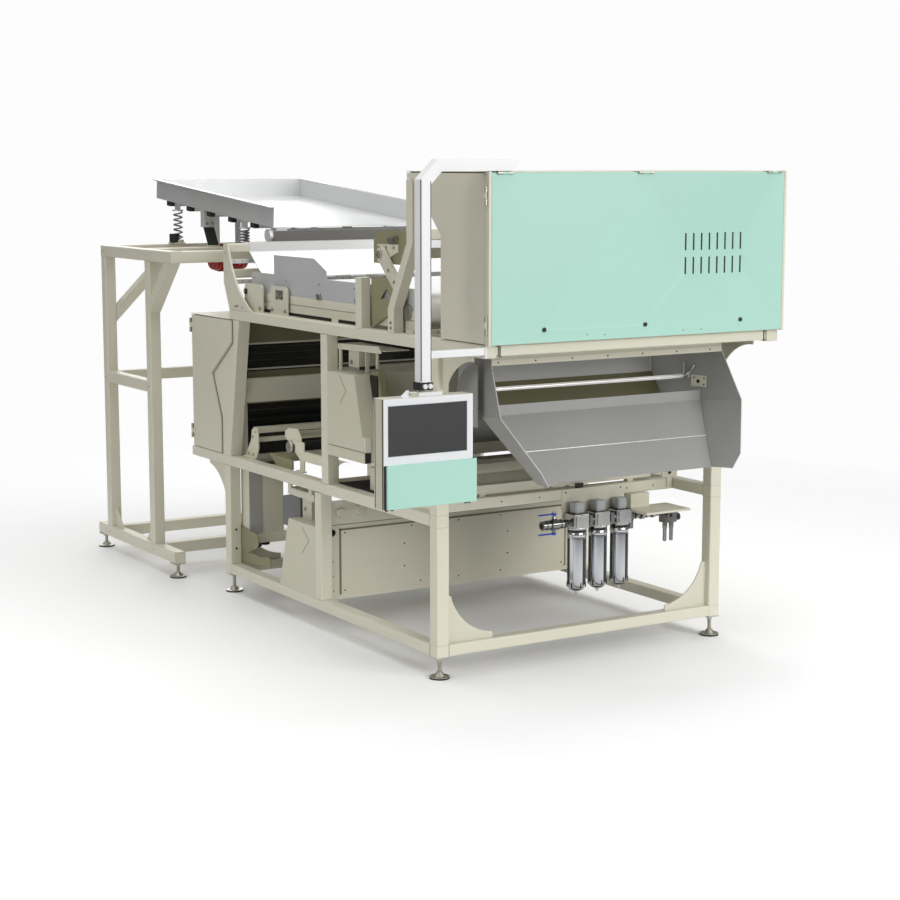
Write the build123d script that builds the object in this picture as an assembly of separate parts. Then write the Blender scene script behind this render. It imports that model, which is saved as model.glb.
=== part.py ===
from build123d import *
import math
import os

os.makedirs("parts", exist_ok=True)

# A belt sorting machine with its feeder stand. x runs across the machine from its left side,
# y runs back from the front posts, z is up from the floor. All sizes are millimetres.

# Welded main frame of square tube
FRAME_W = 1500.0        # across the outer faces of the side rails
FRAME_L = 2030.0        # front face of the front posts to rear face of the rear posts
TUBE = 60.0             # width of the frame tube
TUBE_WALL = 3.0
TUBE_ROUND = 6.0        # outer corner radius of the tube
RAIL_H = 50.0           # height of the lying rails
FOOT_RISE = 94.0        # underside of the posts above the floor
MIDDLE_Z = 642.0        # underside of the middle rails
DECK_Z = 1370.0         # underside of the upper rails
FRONT_REACH = 350.0     # upper rails in front of the front posts
UPPER_REAR = FRAME_L - 87.0  # rear end of the upper rails
REAR_REACH = 380.0      # middle rails behind the rear posts
FRONT_BEAM_Y = 280.0    # front face of the cross beam behind the front posts
DECK_CROSS_Y = 290.0    # cross rail under the front end of the belt
BEAM_GAP = 12.0         # dark joint between the front beam and the rail ends
BEAM_INSET = 6.0        # how far the joint block is set back
LOWER_UPRIGHT_Y = 1015.0
MIDDLE_UPRIGHT_Y = 945.0
LEAN_BOTTOM_Y = FRAME_L - 75.0  # leaning rear upright at the middle rail
LEAN_TOP_Y = FRAME_L - 192.0    # and at the upper rail
LEAN_DEPTH = 42.0
DECK_UPRIGHT_Y = 628.0
DECK_UPRIGHT = 50.0
DECK_UPRIGHT_TOP = 1638.0
GUSSET_T = 6.0
GUSSET_LAND = 24.0
BOTTOM_GUSSET = (230.0, 200.0)
TOP_GUSSET = (230.0, 150.0)
REAR_GUSSET = (230.0, 230.0)

# Levelling feet
PAD_R = 42.0
PAD_H = 10.0
CONE_H = 18.0
STEM_R = 8.0
NUT_R = 14.0
NUT_H = 12.0
PLATE_T = 6.0           # plate welded under each post for the stem

# Belt conveyor on the upper deck
BEAM_T = 40.0           # thickness of a side beam
BEAM_Z = 1435.0         # underside of the side beams
BEAM_H = 76.0
NECK_H = 39.0           # narrower neck above the beam
NECK_IN = 8.0
GROOVE = 4.0
STRIP_H = 56.0          # bright side strip on the neck
STRIP_T = 4.0
BELT_FRONT_Y = 330.0    # front roller axis
BELT_REAR_Y = FRAME_L - 270.0   # rear roller axis
BEAM_TAIL = 60.0        # side beams past the roller axes
ROLLER_R = 48.0
ROLLER_WALL = 6.0
ROLLER_Z = 1505.0
ROLLER_GAP = 0.3        # belt to roller
BELT_T = 4.0
BELT_EDGE = 20.0        # belt edge to the side beam
AXLE_R = 15.0
AXLE_FIT = 0.05         # radial clearance of the roller on its axle
AXLE_OUT = 12.0         # axle end past the side beam
FLANGE_R = 34.0
FLANGE_T = 10.0
BED_T = 6.0
BED_GAP = 0.4           # belt to the slider bed
BAR_W = 40.0
BAR_H = 30.0
BAR_PITCH = 360.0
BAR_COUNT = 3

# Inlet guards and end plates beside the belt
GUARD_T = 3.0
GUARD_H = 90.0
GUARD_FRONT_Y = 1060.0
GUARD_CHAMFER = (118.0, 52.0)
PLATE_B_Y = (FRAME_L - 625.0, FRAME_L - 448.0)
PLATE_A_Y = (FRAME_L - 390.0, FRAME_L - 192.0)
END_PLATE_TOP = 1552.0
END_PLATE_T = 6.0
END_PLATE_ROUND = 28.0
WINDOW = (82.0, 46.0)
WINDOW_DROP = 16.0      # plate top to the window

# Feeder stand
STAND_OUT = 105.0       # outer face of the stand past the main frame
STAND_FRONT_Y = FRAME_L + 370.0
STAND_POST_Y = (FRAME_L + 650.0, FRAME_L + 1245.0)
STAND_CROSS_Y = FRAME_L + 762.0
SLED_Y = (FRAME_L + 393.0, FRAME_L + 1433.0)
SLED_Z = 77.0
STAND_TOP_Z = 1624.0
STAND_MID_Z = 940.0
STAND_FOOT_IN = 30.0    # foot centre from the end of the sled rail
SIDE_BRACE_Z = 1358.0
CROSS_BRACE_Z = 1272.0
BRACE_H = 51.0          # width of a brace seen from its side
STAND_GUSSET = 110.0

# Vibrating tray
TRAY_X = 300.0          # left side of the tray
TRAY_W = FRAME_W - 2 * TRAY_X
TRAY_FRONT_Y = FRAME_L + 25.0
TRAY_FRONT_Z = 1805.0   # underside of the floor at the front lip
TRAY_L = 1450.0
TRAY_H = 105.0
TRAY_T = 4.0
TRAY_SLOPE = 5.0        # degrees down to the front
RIB_FIRST = 235.0       # along the floor from the front lip
RIB_PITCH = 262.0
RIB_COUNT = 5
RIB_W = 50.0
RIB_H = 26.0
RIB_T = 4.0
BLOCK_L = 26.0
SPRING_Y = (FRAME_L + 400.0, FRAME_L + 1238.0)
SPRING_X = 24.0         # spring axis from the side of the tray
SPRING_R = 22.0
SPRING_WIRE = 4.5
SPRING_TURNS = 6.0
SEAT_R = 30.0
SEAT_H = 22.0
HANGER_T = 8.0
SEAT_GAP = 0.3
LEAF_Y = FRAME_L + 792.0
LEAF_T = 8.0
LEAF_W = 60.0
LEAF_RISE = 94.0
LEAF_LEAN = 55.0
CLAMP_H = 40.0
MOTOR_R = 75.0
MOTOR_L = 150.0
MOTOR_X = 440.0         # outer end of the left motor
MOTOR_Y = FRAME_L + 1010.0
MOTOR_Z = 1613.0
MOTOR_PLATE_T = 10.0
LIP_TUBE_R = 32.0
LIP_TUBE_Y = FRAME_L + 60.0
LIP_TUBE_Z = 1768.0
LIP_TUBE_OUT = 12.0
FLAP_T = 5.0
FLAP_Z = (1734.0, 1790.0)
HANGER_DROP = 40.0      # spring hanger below the floor
LIP_LEAF_X = 262.0
LIP_CLAMP_Z = 1672.0
SADDLE = (20.0, 60.0)   # offset and width of the saddles on the lip tube

# Gantry that carries the drop plate
GANTRY_Y = FRAME_L - 70.0
GANTRY_BEAM = 42.0
GANTRY_BEAM_Z = (1569.0, 1694.0)
GANTRY_T = 10.0
GANTRY_FOOT = 245.0     # length of the bracket's foot on the rail
GANTRY_ARC = (FRAME_L - 169.0, 1545.0)   # middle of the curved front edge, (y, z)
DROP_T = 3.0
DROP_LOW_Y = FRAME_L - 224.0
DROP_LOW_Z = 1575.0
DROP_REAR_Y = FRAME_L + 16.0    # rear edge of the drop plate under the tray lip

# Rear box with side doors
BOX_REAR_Y = FRAME_L + 360.0
BOX_TOP_Z = 1372.0
SHEET = 3.0
BOX_FACE_Y = FRAME_L - 68.0
BAND_Z = (1238.0, 1122.0, 1074.0, 955.0)
BAND_BULGE = 30.0
WINDOW_T = 8.0
DOOR_T = 22.0
DOOR_GAP = 4.0
DOOR_POINTS = ((FRAME_L - 117.0, 1258.0), (FRAME_L + 116.0, 1089.0), (FRAME_L + 19.0, 877.0))
JAMB_GAP = 10.0         # groove between the door and the fixed jamb
BOX_POST = 40.0

# Hinges of the doors and the cover
HINGE_R = 5.0
HINGE_OUT = 0.5         # barrel to the face beside it
PIN_R = 2.5
PIN_FIT = 0.05
KNUCKLE = 24.0
KNUCKLE_GAP = 0.3
LEAF_PLATE = 3.0
DOOR_HINGE_Z = (760.0, 1300.0)
COVER_HINGE_X = (60.0, FRAME_W / 2 - 12.0, FRAME_W - 84.0)

# Top cabinet
CABINET_FRONT_Y = -386.0
CABINET_FACE_Y = -361.0     # face frame behind the cover
CABINET_Z = 1420.0
CABINET_TOP = 2094.0
CABINET_REAR_Y = -30.0
CABINET_STEP_Z = CABINET_TOP - 254.0
CABINET_BACK_Y = 240.0
CABINET_LIFT = 34.0         # height of the rear edge of the cabinet
CABINET_SKIN = 3.0
CORNER_POST = 12.0
CABINET_HINGE_Z = (CABINET_Z + 70.0, CABINET_TOP - 104.0)
FACE_SIDE = 80.0            # width of the face frame at the sides
FACE_Z = (CABINET_Z + 60.0, CABINET_TOP - 54.0)
COVER_T = 2.0
COVER_GAP = 1.5
SIDE_DOOR_T = 18.0
SIDE_DOOR_FRONT_Y = -356.0
SIDE_DOOR_Z = (CABINET_Z + 7.0, CABINET_TOP - 7.0)
SLOT_W = 5.0
SLOT_H = 68.0
SLOT_PITCH = 41.5
SLOT_COUNT = 8
SLOT_X = FRAME_W - 540.0    # first slot
SLOT_Z = (CABINET_TOP - 420.0, CABINET_TOP - 322.0)
LOCK_X = (260.0, FRAME_W / 2 + 9.0, FRAME_W - 240.0)
LOCK_Z = CABINET_Z + 55.0
LOCK_R = 9.0
LOCK_HOLE_R = 7.0
LOCK_OUT = 4.0
STRUT_W = 46.0
STRUT_FOOT_Y = (346.0, 396.0)
STRUT_BEND_Z = 1520.0
STRUT_TOP_Z = CABINET_STEP_Z - 40.0
LINK_FOOT = (345.0, 1560.0)     # inclined link behind the strut, (y, z) of its two ends
LINK_HEAD = (540.0, 1740.0)
LINK_W = 60.0
LINK_T = 16.0
LINK_TIE = 44.0                 # square of the tie between the links

# Operator panel on its pendant arm
ARM = 46.0
ARM_X = -283.0          # column axis
ARM_Y = -363.0
ARM_TOP = CABINET_TOP + 48.0
ARM_END_X = 146.0
ARM_LOW = 1266.0        # underside of the column
ARM_BRACE_Z = 1386.0
ARM_BRACE_H = 28.0
COUPLING_R = 26.0
COUPLING_H = 34.0
PANEL_X = (-480.0, -84.0)
PANEL_Z = (824.0, 1246.0)
PANEL_SPLIT_Z = 994.0
PANEL_DEPTH = 74.0
BEZEL_T = 4.0
SCREEN_X = (-463.0, -110.0)
SCREEN_Z = (1026.0, 1220.0)
SCREEN_IN = 1.5
LOWER_BOX_OUT = 6.0
LOWER_BOX_WIDE = 16.0
SWIVEL_GAP = 0.5
SWIVEL_PIN_R = 12.0
SWIVEL_FIT = 0.05
SWIVEL_DEPTH = 28.0
NECK_R = 20.0
ARM_CUT = 77.0          # outer corner cut of the elbow
ARM_PAD_X = (20.0, 120.0)
BRACE_PLATE_Y = (-372.0, -300.0)
BRACE_PLATE_Z = (1376.0, 1416.0)
BRACKET_H = 16.0
BRACKET_X = (-350.0, -215.0)

# Discharge hood: each corner as (inset from the side, y, z)
CHEEK_TOP = (153.0, -169.0, 1321.0)
CHEEK_FRONT = (128.8, -277.0, 1117.0)
CHUTE_TOP = (177.4, -60.0, 1097.0)
CHUTE_FOLD = (243.0, -183.0, 958.0)
CHUTE_FOOT = (298.0, -294.0, 839.0)
WING_EDGE = ((-407.0, 905.0), (-403.0, 845.0))  # front corners of a wing, (y, z)
HOOD_T = 3.0
HOOD_RIM_Z = 1342.0
HOOD_BACK_Y = 220.0
HOOD_BACK_Z = (1186.0, 1400.0)
STRIP_LOW_Z = 1318.0
LIP_TOP_Z = 1140.0
SPLITTER_Y = 5.0
SPLITTER_Z = 1199.0
SPLITTER_R = 6.0
SPLITTER_FIT = 0.05
SPLITTER_X = 198.0      # end of the bar inside its bush
BUSH_R = 12.0
BUSH_X = (194.7, 210.0)
BLADE_W = 22.0
BLADE_T = 3.0
LEVER_L = 60.0
LEVER_R = 4.0
SIDE_GUARD_X = 137.0
SIDE_GUARD = ((-92.0, 1310.0), (28.0, 1274.0), (66.0, 1196.0))  # front, middle and rear of its arc
SIDE_GUARD_LOW_Z = 1060.0
SIDE_GUARD_PINS = ((-40.0, 1130.0), (30.0, 1240.0))     # stand-offs to the cheek, (y, z)

# Sorting boxes across the machine, outlines as (y, z)
HOUSING_IN = 70.0       # end of a housing from the side of the frame
HOUSING_FLUSH = 2.0     # end cover of a housing from the side of the frame
UPPER_HOUSING = ((696.0, 1208.0), (606.0, 878.0), (606.0, 830.0), (1035.0, 830.0), (1035.0, 1208.0))
LOWER_HOUSING = ((1100.0, 476.0), (1100.0, 150.0), (1438.0, 150.0), (1340.0, 476.0))
UPPER_LUG = ((950.0, 1000.0), (880.0, 960.0))
CUBE = 92.0
CUBE_Y = 774.0
CUBE_Z = 1231.0
SHELF_Y = (525.0, 960.0)
SHELF_X = 180.0
HANG_ROD_Y = 690.0
SMALL_BOX_Y = 1235.0

# Air ejector under the belt end
EJECTOR_Y = 240.0
EJECTOR_Z = (1375.0, 1415.0)
VALVE_PITCH = 48.0
VALVE_SIZE = (36.0, 30.0, 20.0)

# Lower panel, troughs and ducts
PANEL_FRONT_Y = 1050.0
LOWER_PANEL_Z = (130.0, 480.0)
LOWER_PANEL_DEPTH = 46.0
PANEL_COVER_X = 123.0
PANEL_COVER_Z = (161.0, 452.0)
TROUGH_Z = 600.0
TROUGH_LEAN = 30.0
HOLE_R = 17.0
HOLE_AT = (79.0, 444.0)
TRAY_TROUGH_Y = (500.0, 560.0, 1040.0)
TRAY_TROUGH_TOP = 800.0
DUCT_X = (71.0, 260.0)
DUCT_Y = (FRAME_L - 130.0, FRAME_L - 40.0)
DUCT_LOW_Z = 300.0
SPOUT_Z = 256.0
SPOUT_IN = 50.0         # how far the duct is cut back at its spout

# Plates on the front beam
TEE_STEM_X = (FRAME_W - 95.0, FRAME_W - 65.0)
TEE_HEAD_X = (FRAME_W - 123.0, FRAME_W - 37.0)
TEE_Z = (656.0, 700.0, 738.0)
TEE_HOLE = (FRAME_W - 80.0, 721.0)
TEE_HOLE_R = 9.0
AIR_X = FRAME_W - 510.0     # the air set is placed from here
FILTER_PLATE_X = (AIR_X - 170.0, AIR_X + 165.0)
FILTER_PLATE_Z = (560.0, 690.0)
AIR_BLOCK_X = (AIR_X + 193.0, AIR_X + 297.0)
AIR_SHELF_X = (AIR_X + 166.0, AIR_X + 415.0)
AIR_SHELF_Y = (100.0, 280.0)
AIR_SHELF_Z = (570.0, 580.0)

# Compressed air set under the front beam
FILTER_X = (AIR_X - 121.0, AIR_X - 6.0, AIR_X + 114.0)
HEAD_W = 86.0
HEAD_Z = (503.0, 590.0, 630.0)
CAP_SHARE = 0.62
BOWL_R = 42.0
BOWL_LOW = 238.0
BOWL_ROUND = 26.0
NIPPLE_R = 6.0
NIPPLE_L = 16.0
PIPE_Z = 548.0
PIPE_R = 13.0
JOINT_R = 20.0
VALVE_X = (AIR_X - 311.0, AIR_X - 212.0)
VALVE_R = 21.0
VALVE_STEM = (AIR_X - 245.0, 5.0)       # x and radius of the stem
LEVER_Z = (596.0, 508.0)
LEVER_T = 4.0
LEVER_FIT = 0.05
HUB_R = 11.0
HUB_H = 8.0
LEVER_OUT = 80.0
OUTLET_X = (AIR_X + 355.0, AIR_X + 425.0)
OUTLET_Z = (500.0, 566.0)
OUTLET_W = 44.0
DROP_PIPE_X = (AIR_X + 373.0, AIR_X + 410.0)
DROP_PIPE_R = 9.0
DROP_PIPE_Z = 412.0
KNOB_R = 17.0
KNOB_Z = 520.0
KNOB_X = (AIR_X + 425.5, AIR_X + 450.0)
KNOB_STEM = (5.0, 12.0)         # radius and depth in the outlet block
KNOB_FIT = 0.05


def block(x0, x1, y0, y1, z0, z1):
    size = (abs(x1 - x0), abs(y1 - y0), abs(z1 - z0))
    low = (min(x0, x1), min(y0, y1), min(z0, z1))
    return Pos(*low) * Box(*size, align=(Align.MIN, Align.MIN, Align.MIN))


def prism_x(points, x0, x1):
    """A (y, z) outline stretched from x0 to x1."""
    return extrude(Plane.YZ.offset(x0) * Polygon(*points, align=None), amount=x1 - x0, dir=(1, 0, 0))


def prism_y(points, y0, y1):
    """An (x, z) outline stretched from y0 to y1."""
    return extrude(Plane.XZ.offset(-y1) * Polygon(*points, align=None), amount=y1 - y0, dir=(0, -1, 0))


def rod(axis, centre, radius, low, high):
    """A round bar along an axis, its centre given in the other two directions."""
    a, b = centre
    if axis == "x":
        return extrude(Plane.YZ.offset(low) * Pos(a, b) * Circle(radius), amount=high - low)
    if axis == "y":
        return extrude(Plane.XZ.offset(-high) * Pos(a, b) * Circle(radius), amount=high - low)
    return extrude(Plane.XY.offset(low) * Pos(a, b) * Circle(radius), amount=high - low)


def tube(axis, x0, x1, y0, y1, z0, z1, wall=TUBE_WALL, corner=TUBE_ROUND):
    """A hollow tube with rounded corners, open at both ends."""
    def ring(a0, a1, b0, b1):
        wide = a1 - a0
        high = b1 - b0
        outer = RectangleRounded(wide, high, corner)
        inner = RectangleRounded(wide - 2 * wall, high - 2 * wall, corner - wall)
        return Pos((a0 + a1) / 2, (b0 + b1) / 2) * (outer - inner)
    if axis == "x":
        return extrude(Plane.YZ.offset(x0) * ring(y0, y1, z0, z1), amount=x1 - x0)
    if axis == "y":
        return extrude(Plane.XZ.offset(-y1) * ring(x0, x1, z0, z1), amount=y1 - y0)
    return extrude(Plane.XY.offset(z0) * ring(x0, x1, y0, y1), amount=z1 - z0)


def other_side(shape):
    """The same piece on the right-hand side of the machine."""
    return mirror(shape, about=Plane.YZ.offset(FRAME_W / 2))


def pair(*shapes):
    return [*shapes, *[other_side(shape) for shape in shapes]]


def facet(points, thickness, towards):
    """A flat plate from its corner points, thickened to the side that faces a given direction."""
    face = make_face(Polyline(*points, close=True)).faces()[0]
    normal = face.normal_at()
    sign = 1 if normal.dot(Vector(*towards)) > 0 else -1
    return extrude(face, amount=thickness, dir=normal * sign)


def concave_gusset(leg_a, leg_b, land):
    """A corner plate with a hollow curve between its two lands, corner at the origin."""
    start = Vector(leg_a, land)
    end = Vector(land, leg_b)
    line = Polyline((land, leg_b), (0, leg_b), (0, 0), (leg_a, 0), (leg_a, land))
    hollow = ThreePointArc(start, Vector(land + (leg_a - land) * 0.34, land + (leg_b - land) * 0.34), end)
    return make_face(line + hollow)


RIGHT = FRAME_W - TUBE
MIDDLE_TOP = MIDDLE_Z + RAIL_H
DECK_TOP = DECK_Z + RAIL_H
REAR_POST_Y = FRAME_L - TUBE
MIDDLE_END_Y = FRAME_L + REAR_REACH
BELT_TOP = ROLLER_Z + ROLLER_R + ROLLER_GAP + BELT_T
STAND_L = -STAND_OUT
STAND_IN = STAND_L + TUBE
STAND_TOP = STAND_TOP_Z + TUBE
BOX_BACK_Y = BOX_REAR_Y + 2 * HINGE_R + 1
DOOR_HINGE = (-HINGE_R - HINGE_OUT, BOX_REAR_Y + HINGE_R)
CABINET_HINGE = (-HINGE_R - HINGE_OUT, CABINET_FRONT_Y + CORNER_POST + COVER_T)
COVER_HINGE = (CABINET_FRONT_Y - HINGE_R - HINGE_OUT, CABINET_TOP - HINGE_R - 1)
FILTER_Y = FRONT_BEAM_Y - PLATE_T - HEAD_W / 2


def front_posts():
    return pair(tube("z", 0, TUBE, 0, TUBE, FOOT_RISE, DECK_Z))


def rear_posts():
    return pair(tube("z", 0, TUBE, REAR_POST_Y, FRAME_L, FOOT_RISE, MIDDLE_Z))


def bottom_rails():
    top = FOOT_RISE + RAIL_H
    side = tube("y", 0, TUBE, TUBE, REAR_POST_Y, FOOT_RISE, top)
    front = tube("x", TUBE, RIGHT, 0, TUBE, FOOT_RISE, top)
    rear = tube("x", TUBE, RIGHT, REAR_POST_Y, FRAME_L, FOOT_RISE, top)
    return [*pair(side), front, rear]


def middle_rails():
    side = tube("y", 0, TUBE, TUBE, MIDDLE_END_Y, MIDDLE_Z, MIDDLE_TOP)
    cross_at = (FRONT_BEAM_Y, LOWER_UPRIGHT_Y, REAR_POST_Y, MIDDLE_END_Y - TUBE)
    cross = [tube("x", TUBE, RIGHT, y, y + TUBE, MIDDLE_Z, MIDDLE_TOP) for y in cross_at]
    return [*pair(side), *cross, *beam_plates()]


def upper_rails():
    side = tube("y", 0, TUBE, -FRONT_REACH, UPPER_REAR, DECK_Z, DECK_TOP)
    beam_x = TUBE + BEAM_GAP
    low = DECK_Z + BEAM_INSET
    front = tube("x", beam_x, FRAME_W - beam_x, -FRONT_REACH, TUBE - FRONT_REACH, low, DECK_TOP)
    joint = block(TUBE, beam_x, BEAM_INSET - FRONT_REACH, TUBE - BEAM_INSET - FRONT_REACH,
                  low + BEAM_INSET, DECK_TOP - BEAM_INSET)
    cross_at = (DECK_CROSS_Y, MIDDLE_UPRIGHT_Y, UPPER_REAR - TUBE)
    cross = [tube("x", TUBE, RIGHT, y, y + TUBE, DECK_Z, DECK_TOP) for y in cross_at]
    return [*pair(side), front, *pair(joint), *cross]


def uprights():
    low = tube("z", 0, TUBE, LOWER_UPRIGHT_Y, LOWER_UPRIGHT_Y + TUBE, FOOT_RISE + RAIL_H, MIDDLE_Z)
    middle = tube("z", 0, TUBE, MIDDLE_UPRIGHT_Y, MIDDLE_UPRIGHT_Y + TUBE, MIDDLE_TOP, DECK_Z)
    lean = prism_x(((LEAN_BOTTOM_Y, MIDDLE_TOP), (LEAN_BOTTOM_Y + LEAN_DEPTH, MIDDLE_TOP),
                    (LEAN_TOP_Y + LEAN_DEPTH, DECK_Z), (LEAN_TOP_Y, DECK_Z)), 0, TUBE)
    wall = TUBE_WALL
    core = prism_x(((LEAN_BOTTOM_Y + wall, MIDDLE_TOP), (LEAN_BOTTOM_Y + LEAN_DEPTH - wall, MIDDLE_TOP),
                    (LEAN_TOP_Y + LEAN_DEPTH - wall, DECK_Z), (LEAN_TOP_Y + wall, DECK_Z)),
                   wall, TUBE - wall)
    deck = tube("z", 0, DECK_UPRIGHT, DECK_UPRIGHT_Y, DECK_UPRIGHT_Y + DECK_UPRIGHT + 2,
                DECK_TOP, DECK_UPRIGHT_TOP)
    return pair(low, middle, lean - core, deck)


def frame_gussets():
    half = GUSSET_T / 2
    mid = TUBE / 2
    base = FOOT_RISE + RAIL_H
    front = extrude(Plane.XZ.offset(-mid - half) * Pos(TUBE, base)
                    * concave_gusset(*BOTTOM_GUSSET, GUSSET_LAND), amount=GUSSET_T)
    rear = extrude(Plane.XZ.offset(-REAR_POST_Y - mid - half) * Pos(TUBE, base)
                   * concave_gusset(*BOTTOM_GUSSET, GUSSET_LAND), amount=GUSSET_T)
    under_deck = mirror(mirror(concave_gusset(*TOP_GUSSET, GUSSET_LAND), about=Plane.XZ), about=Plane.YZ)
    top = extrude(Plane.YZ.offset(mid - half) * Pos(0, DECK_Z) * under_deck, amount=GUSSET_T)
    under_rail = mirror(concave_gusset(*REAR_GUSSET, GUSSET_LAND), about=Plane.XZ)
    tail = extrude(Plane.YZ.offset(mid - half) * Pos(FRAME_L, MIDDLE_Z) * under_rail, amount=GUSSET_T)
    return pair(front, rear, top, tail)


def foot(x, y, rise):
    """A levelling foot: pad, cone, stem, lock nut and the plate welded under the post."""
    pad = rod("z", (x, y), PAD_R, 0, PAD_H)
    cone = Pos(x, y, PAD_H + CONE_H / 2) * Cone(PAD_R * 0.6, STEM_R + 4, CONE_H)
    stem = rod("z", (x, y), STEM_R, PAD_H + CONE_H, rise - PLATE_T)
    nut_top = rise - PLATE_T
    nut = extrude(Plane.XY.offset(nut_top - NUT_H) * Pos(x, y) * RegularPolygon(NUT_R, 6), amount=NUT_H)
    half = TUBE / 2
    plate = block(x - half, x + half, y - half, y + half, rise - PLATE_T, rise)
    return pad + cone + stem + nut + plate


def levelling_feet():
    mid = TUBE / 2
    main = [foot(x, y, FOOT_RISE) for x in (mid, FRAME_W - mid) for y in (mid, FRAME_L - mid)]
    ends = (SLED_Y[0] + STAND_FOOT_IN, SLED_Y[1] - STAND_FOOT_IN)
    sides = (STAND_L + mid, FRAME_W + STAND_OUT - mid)
    stand = [foot(x, y, SLED_Z) for x in sides for y in ends]
    return main + stand


def conveyor_sides():
    x0 = TUBE
    x1 = TUBE + BEAM_T
    top = BEAM_Z + BEAM_H
    front = BELT_FRONT_Y - BEAM_TAIL
    rear = BELT_REAR_Y + BEAM_TAIL
    mid = BEAM_Z + BEAM_H / 2
    outline = ((x0, BEAM_Z), (x1, BEAM_Z), (x1, top), (x1 - NECK_IN, top), (x1 - NECK_IN, top + NECK_H),
               (x0 + NECK_IN, top + NECK_H), (x0 + NECK_IN, top), (x0, top),
               (x0, mid + GROOVE / 2), (x0 + GROOVE, mid), (x0, mid - GROOVE / 2))
    beam = prism_y(outline, front, rear)
    for y in (BELT_FRONT_Y, BELT_REAR_Y):
        beam -= rod("x", (y, ROLLER_Z), AXLE_R, x0 - 1, x1 + 1)
    middle_spacer = block(x0, x1, MIDDLE_UPRIGHT_Y, MIDDLE_UPRIGHT_Y + TUBE, DECK_TOP, BEAM_Z)
    front_spacer = block(x0 - AXLE_OUT, x1, front, front + TUBE, DECK_TOP, BEAM_Z)
    rear_spacer = block(x0 - AXLE_OUT, x1, rear - TUBE, rear, DECK_TOP, BEAM_Z)
    return pair(beam, middle_spacer, front_spacer, rear_spacer, *end_plates())


def end_plates():
    """Cream end plates outside the side beams at the inlet end."""
    def plate(y0, y1, x0):
        wide = y1 - y0
        high = END_PLATE_TOP - DECK_TOP
        face = RectangleRounded(wide, high, END_PLATE_ROUND)
        middle = Pos((y0 + y1) / 2, DECK_TOP + high / 2)
        body = extrude(Plane.YZ.offset(x0) * middle * face, amount=END_PLATE_T)
        return body + block(x0, x0 + END_PLATE_T, y0, y1, DECK_TOP, DECK_TOP + END_PLATE_ROUND)
    rod_z = BEAM_Z + BEAM_H / 4
    x_b = TUBE - FLANGE_T - END_PLATE_T
    near = plate(*PLATE_B_Y, x_b)
    centre = (PLATE_B_Y[0] + PLATE_B_Y[1]) / 2
    window_low = END_PLATE_TOP - WINDOW_DROP - WINDOW[1]
    near -= block(x_b - 1, x_b + END_PLATE_T + 1, centre - WINDOW[0] / 2, centre + WINDOW[0] / 2,
                  window_low, window_low + WINDOW[1])
    for y in (PLATE_B_Y[0] + END_PLATE_ROUND, PLATE_B_Y[1] - END_PLATE_ROUND):
        near += rod("x", (y, rod_z), STEM_R, x_b + END_PLATE_T, TUBE)
    x_a = x_b - 2 * END_PLATE_T
    far = plate(*PLATE_A_Y, x_a)
    far += rod("x", (PLATE_A_Y[0] + END_PLATE_ROUND, rod_z), STEM_R, x_a + END_PLATE_T, TUBE)
    return [near, far]


def roller_axles():
    x0 = TUBE - AXLE_OUT
    axles = []
    for y in (BELT_FRONT_Y, BELT_REAR_Y):
        axles.append(rod("x", (y, ROLLER_Z), AXLE_R, x0, FRAME_W - x0))
        flange = rod("x", (y, ROLLER_Z), FLANGE_R, TUBE - FLANGE_T, TUBE)
        flange -= rod("x", (y, ROLLER_Z), AXLE_R, TUBE - FLANGE_T - 1, TUBE + 1)
        axles += pair(flange)
    return axles


def roller(y):
    x0 = TUBE + BEAM_T + BELT_EDGE
    x1 = FRAME_W - x0
    shell = rod("x", (y, ROLLER_Z), ROLLER_R, x0, x1)
    shell -= rod("x", (y, ROLLER_Z), ROLLER_R - ROLLER_WALL, x0 + FLANGE_T, x1 - FLANGE_T)
    shell -= rod("x", (y, ROLLER_Z), AXLE_R + AXLE_FIT, x0 - 1, x1 + 1)
    return [shell]


def conveyor_belt():
    inner = ROLLER_R + ROLLER_GAP
    outer = inner + BELT_T
    run = BELT_REAR_Y - BELT_FRONT_Y
    mid = (BELT_REAR_Y + BELT_FRONT_Y) / 2
    ring = SlotCenterToCenter(run, 2 * outer) - SlotCenterToCenter(run, 2 * inner)
    x0 = TUBE + BEAM_T + BELT_EDGE
    x1 = FRAME_W - x0
    return [extrude(Plane.YZ.offset(x0) * Pos(mid, ROLLER_Z) * ring, amount=x1 - x0)]


def belt_bed():
    x0 = TUBE + BEAM_T
    x1 = FRAME_W - x0
    top = ROLLER_Z + ROLLER_R + ROLLER_GAP - BED_GAP
    front = BELT_FRONT_Y + ROLLER_R + BEAM_TAIL / 2
    rear = BELT_REAR_Y - ROLLER_R - BEAM_TAIL / 2
    inner_x = x0 + BELT_EDGE
    plate = block(inner_x, FRAME_W - inner_x, front, rear, top - BED_T, top)
    mid = (front + rear) / 2
    first = mid - BAR_PITCH * (BAR_COUNT - 1) / 2
    low = ROLLER_Z - BAR_H
    pieces = [plate]
    for i in range(BAR_COUNT):
        y = first + i * BAR_PITCH - BAR_W / 2
        pieces.append(block(x0, x1, y, y + BAR_W, low, ROLLER_Z))
        riser = block(inner_x + BAR_W, inner_x + 2 * BAR_W, y, y + BAR_W, ROLLER_Z, top - BED_T)
        pieces += pair(riser)
    return pieces


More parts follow.
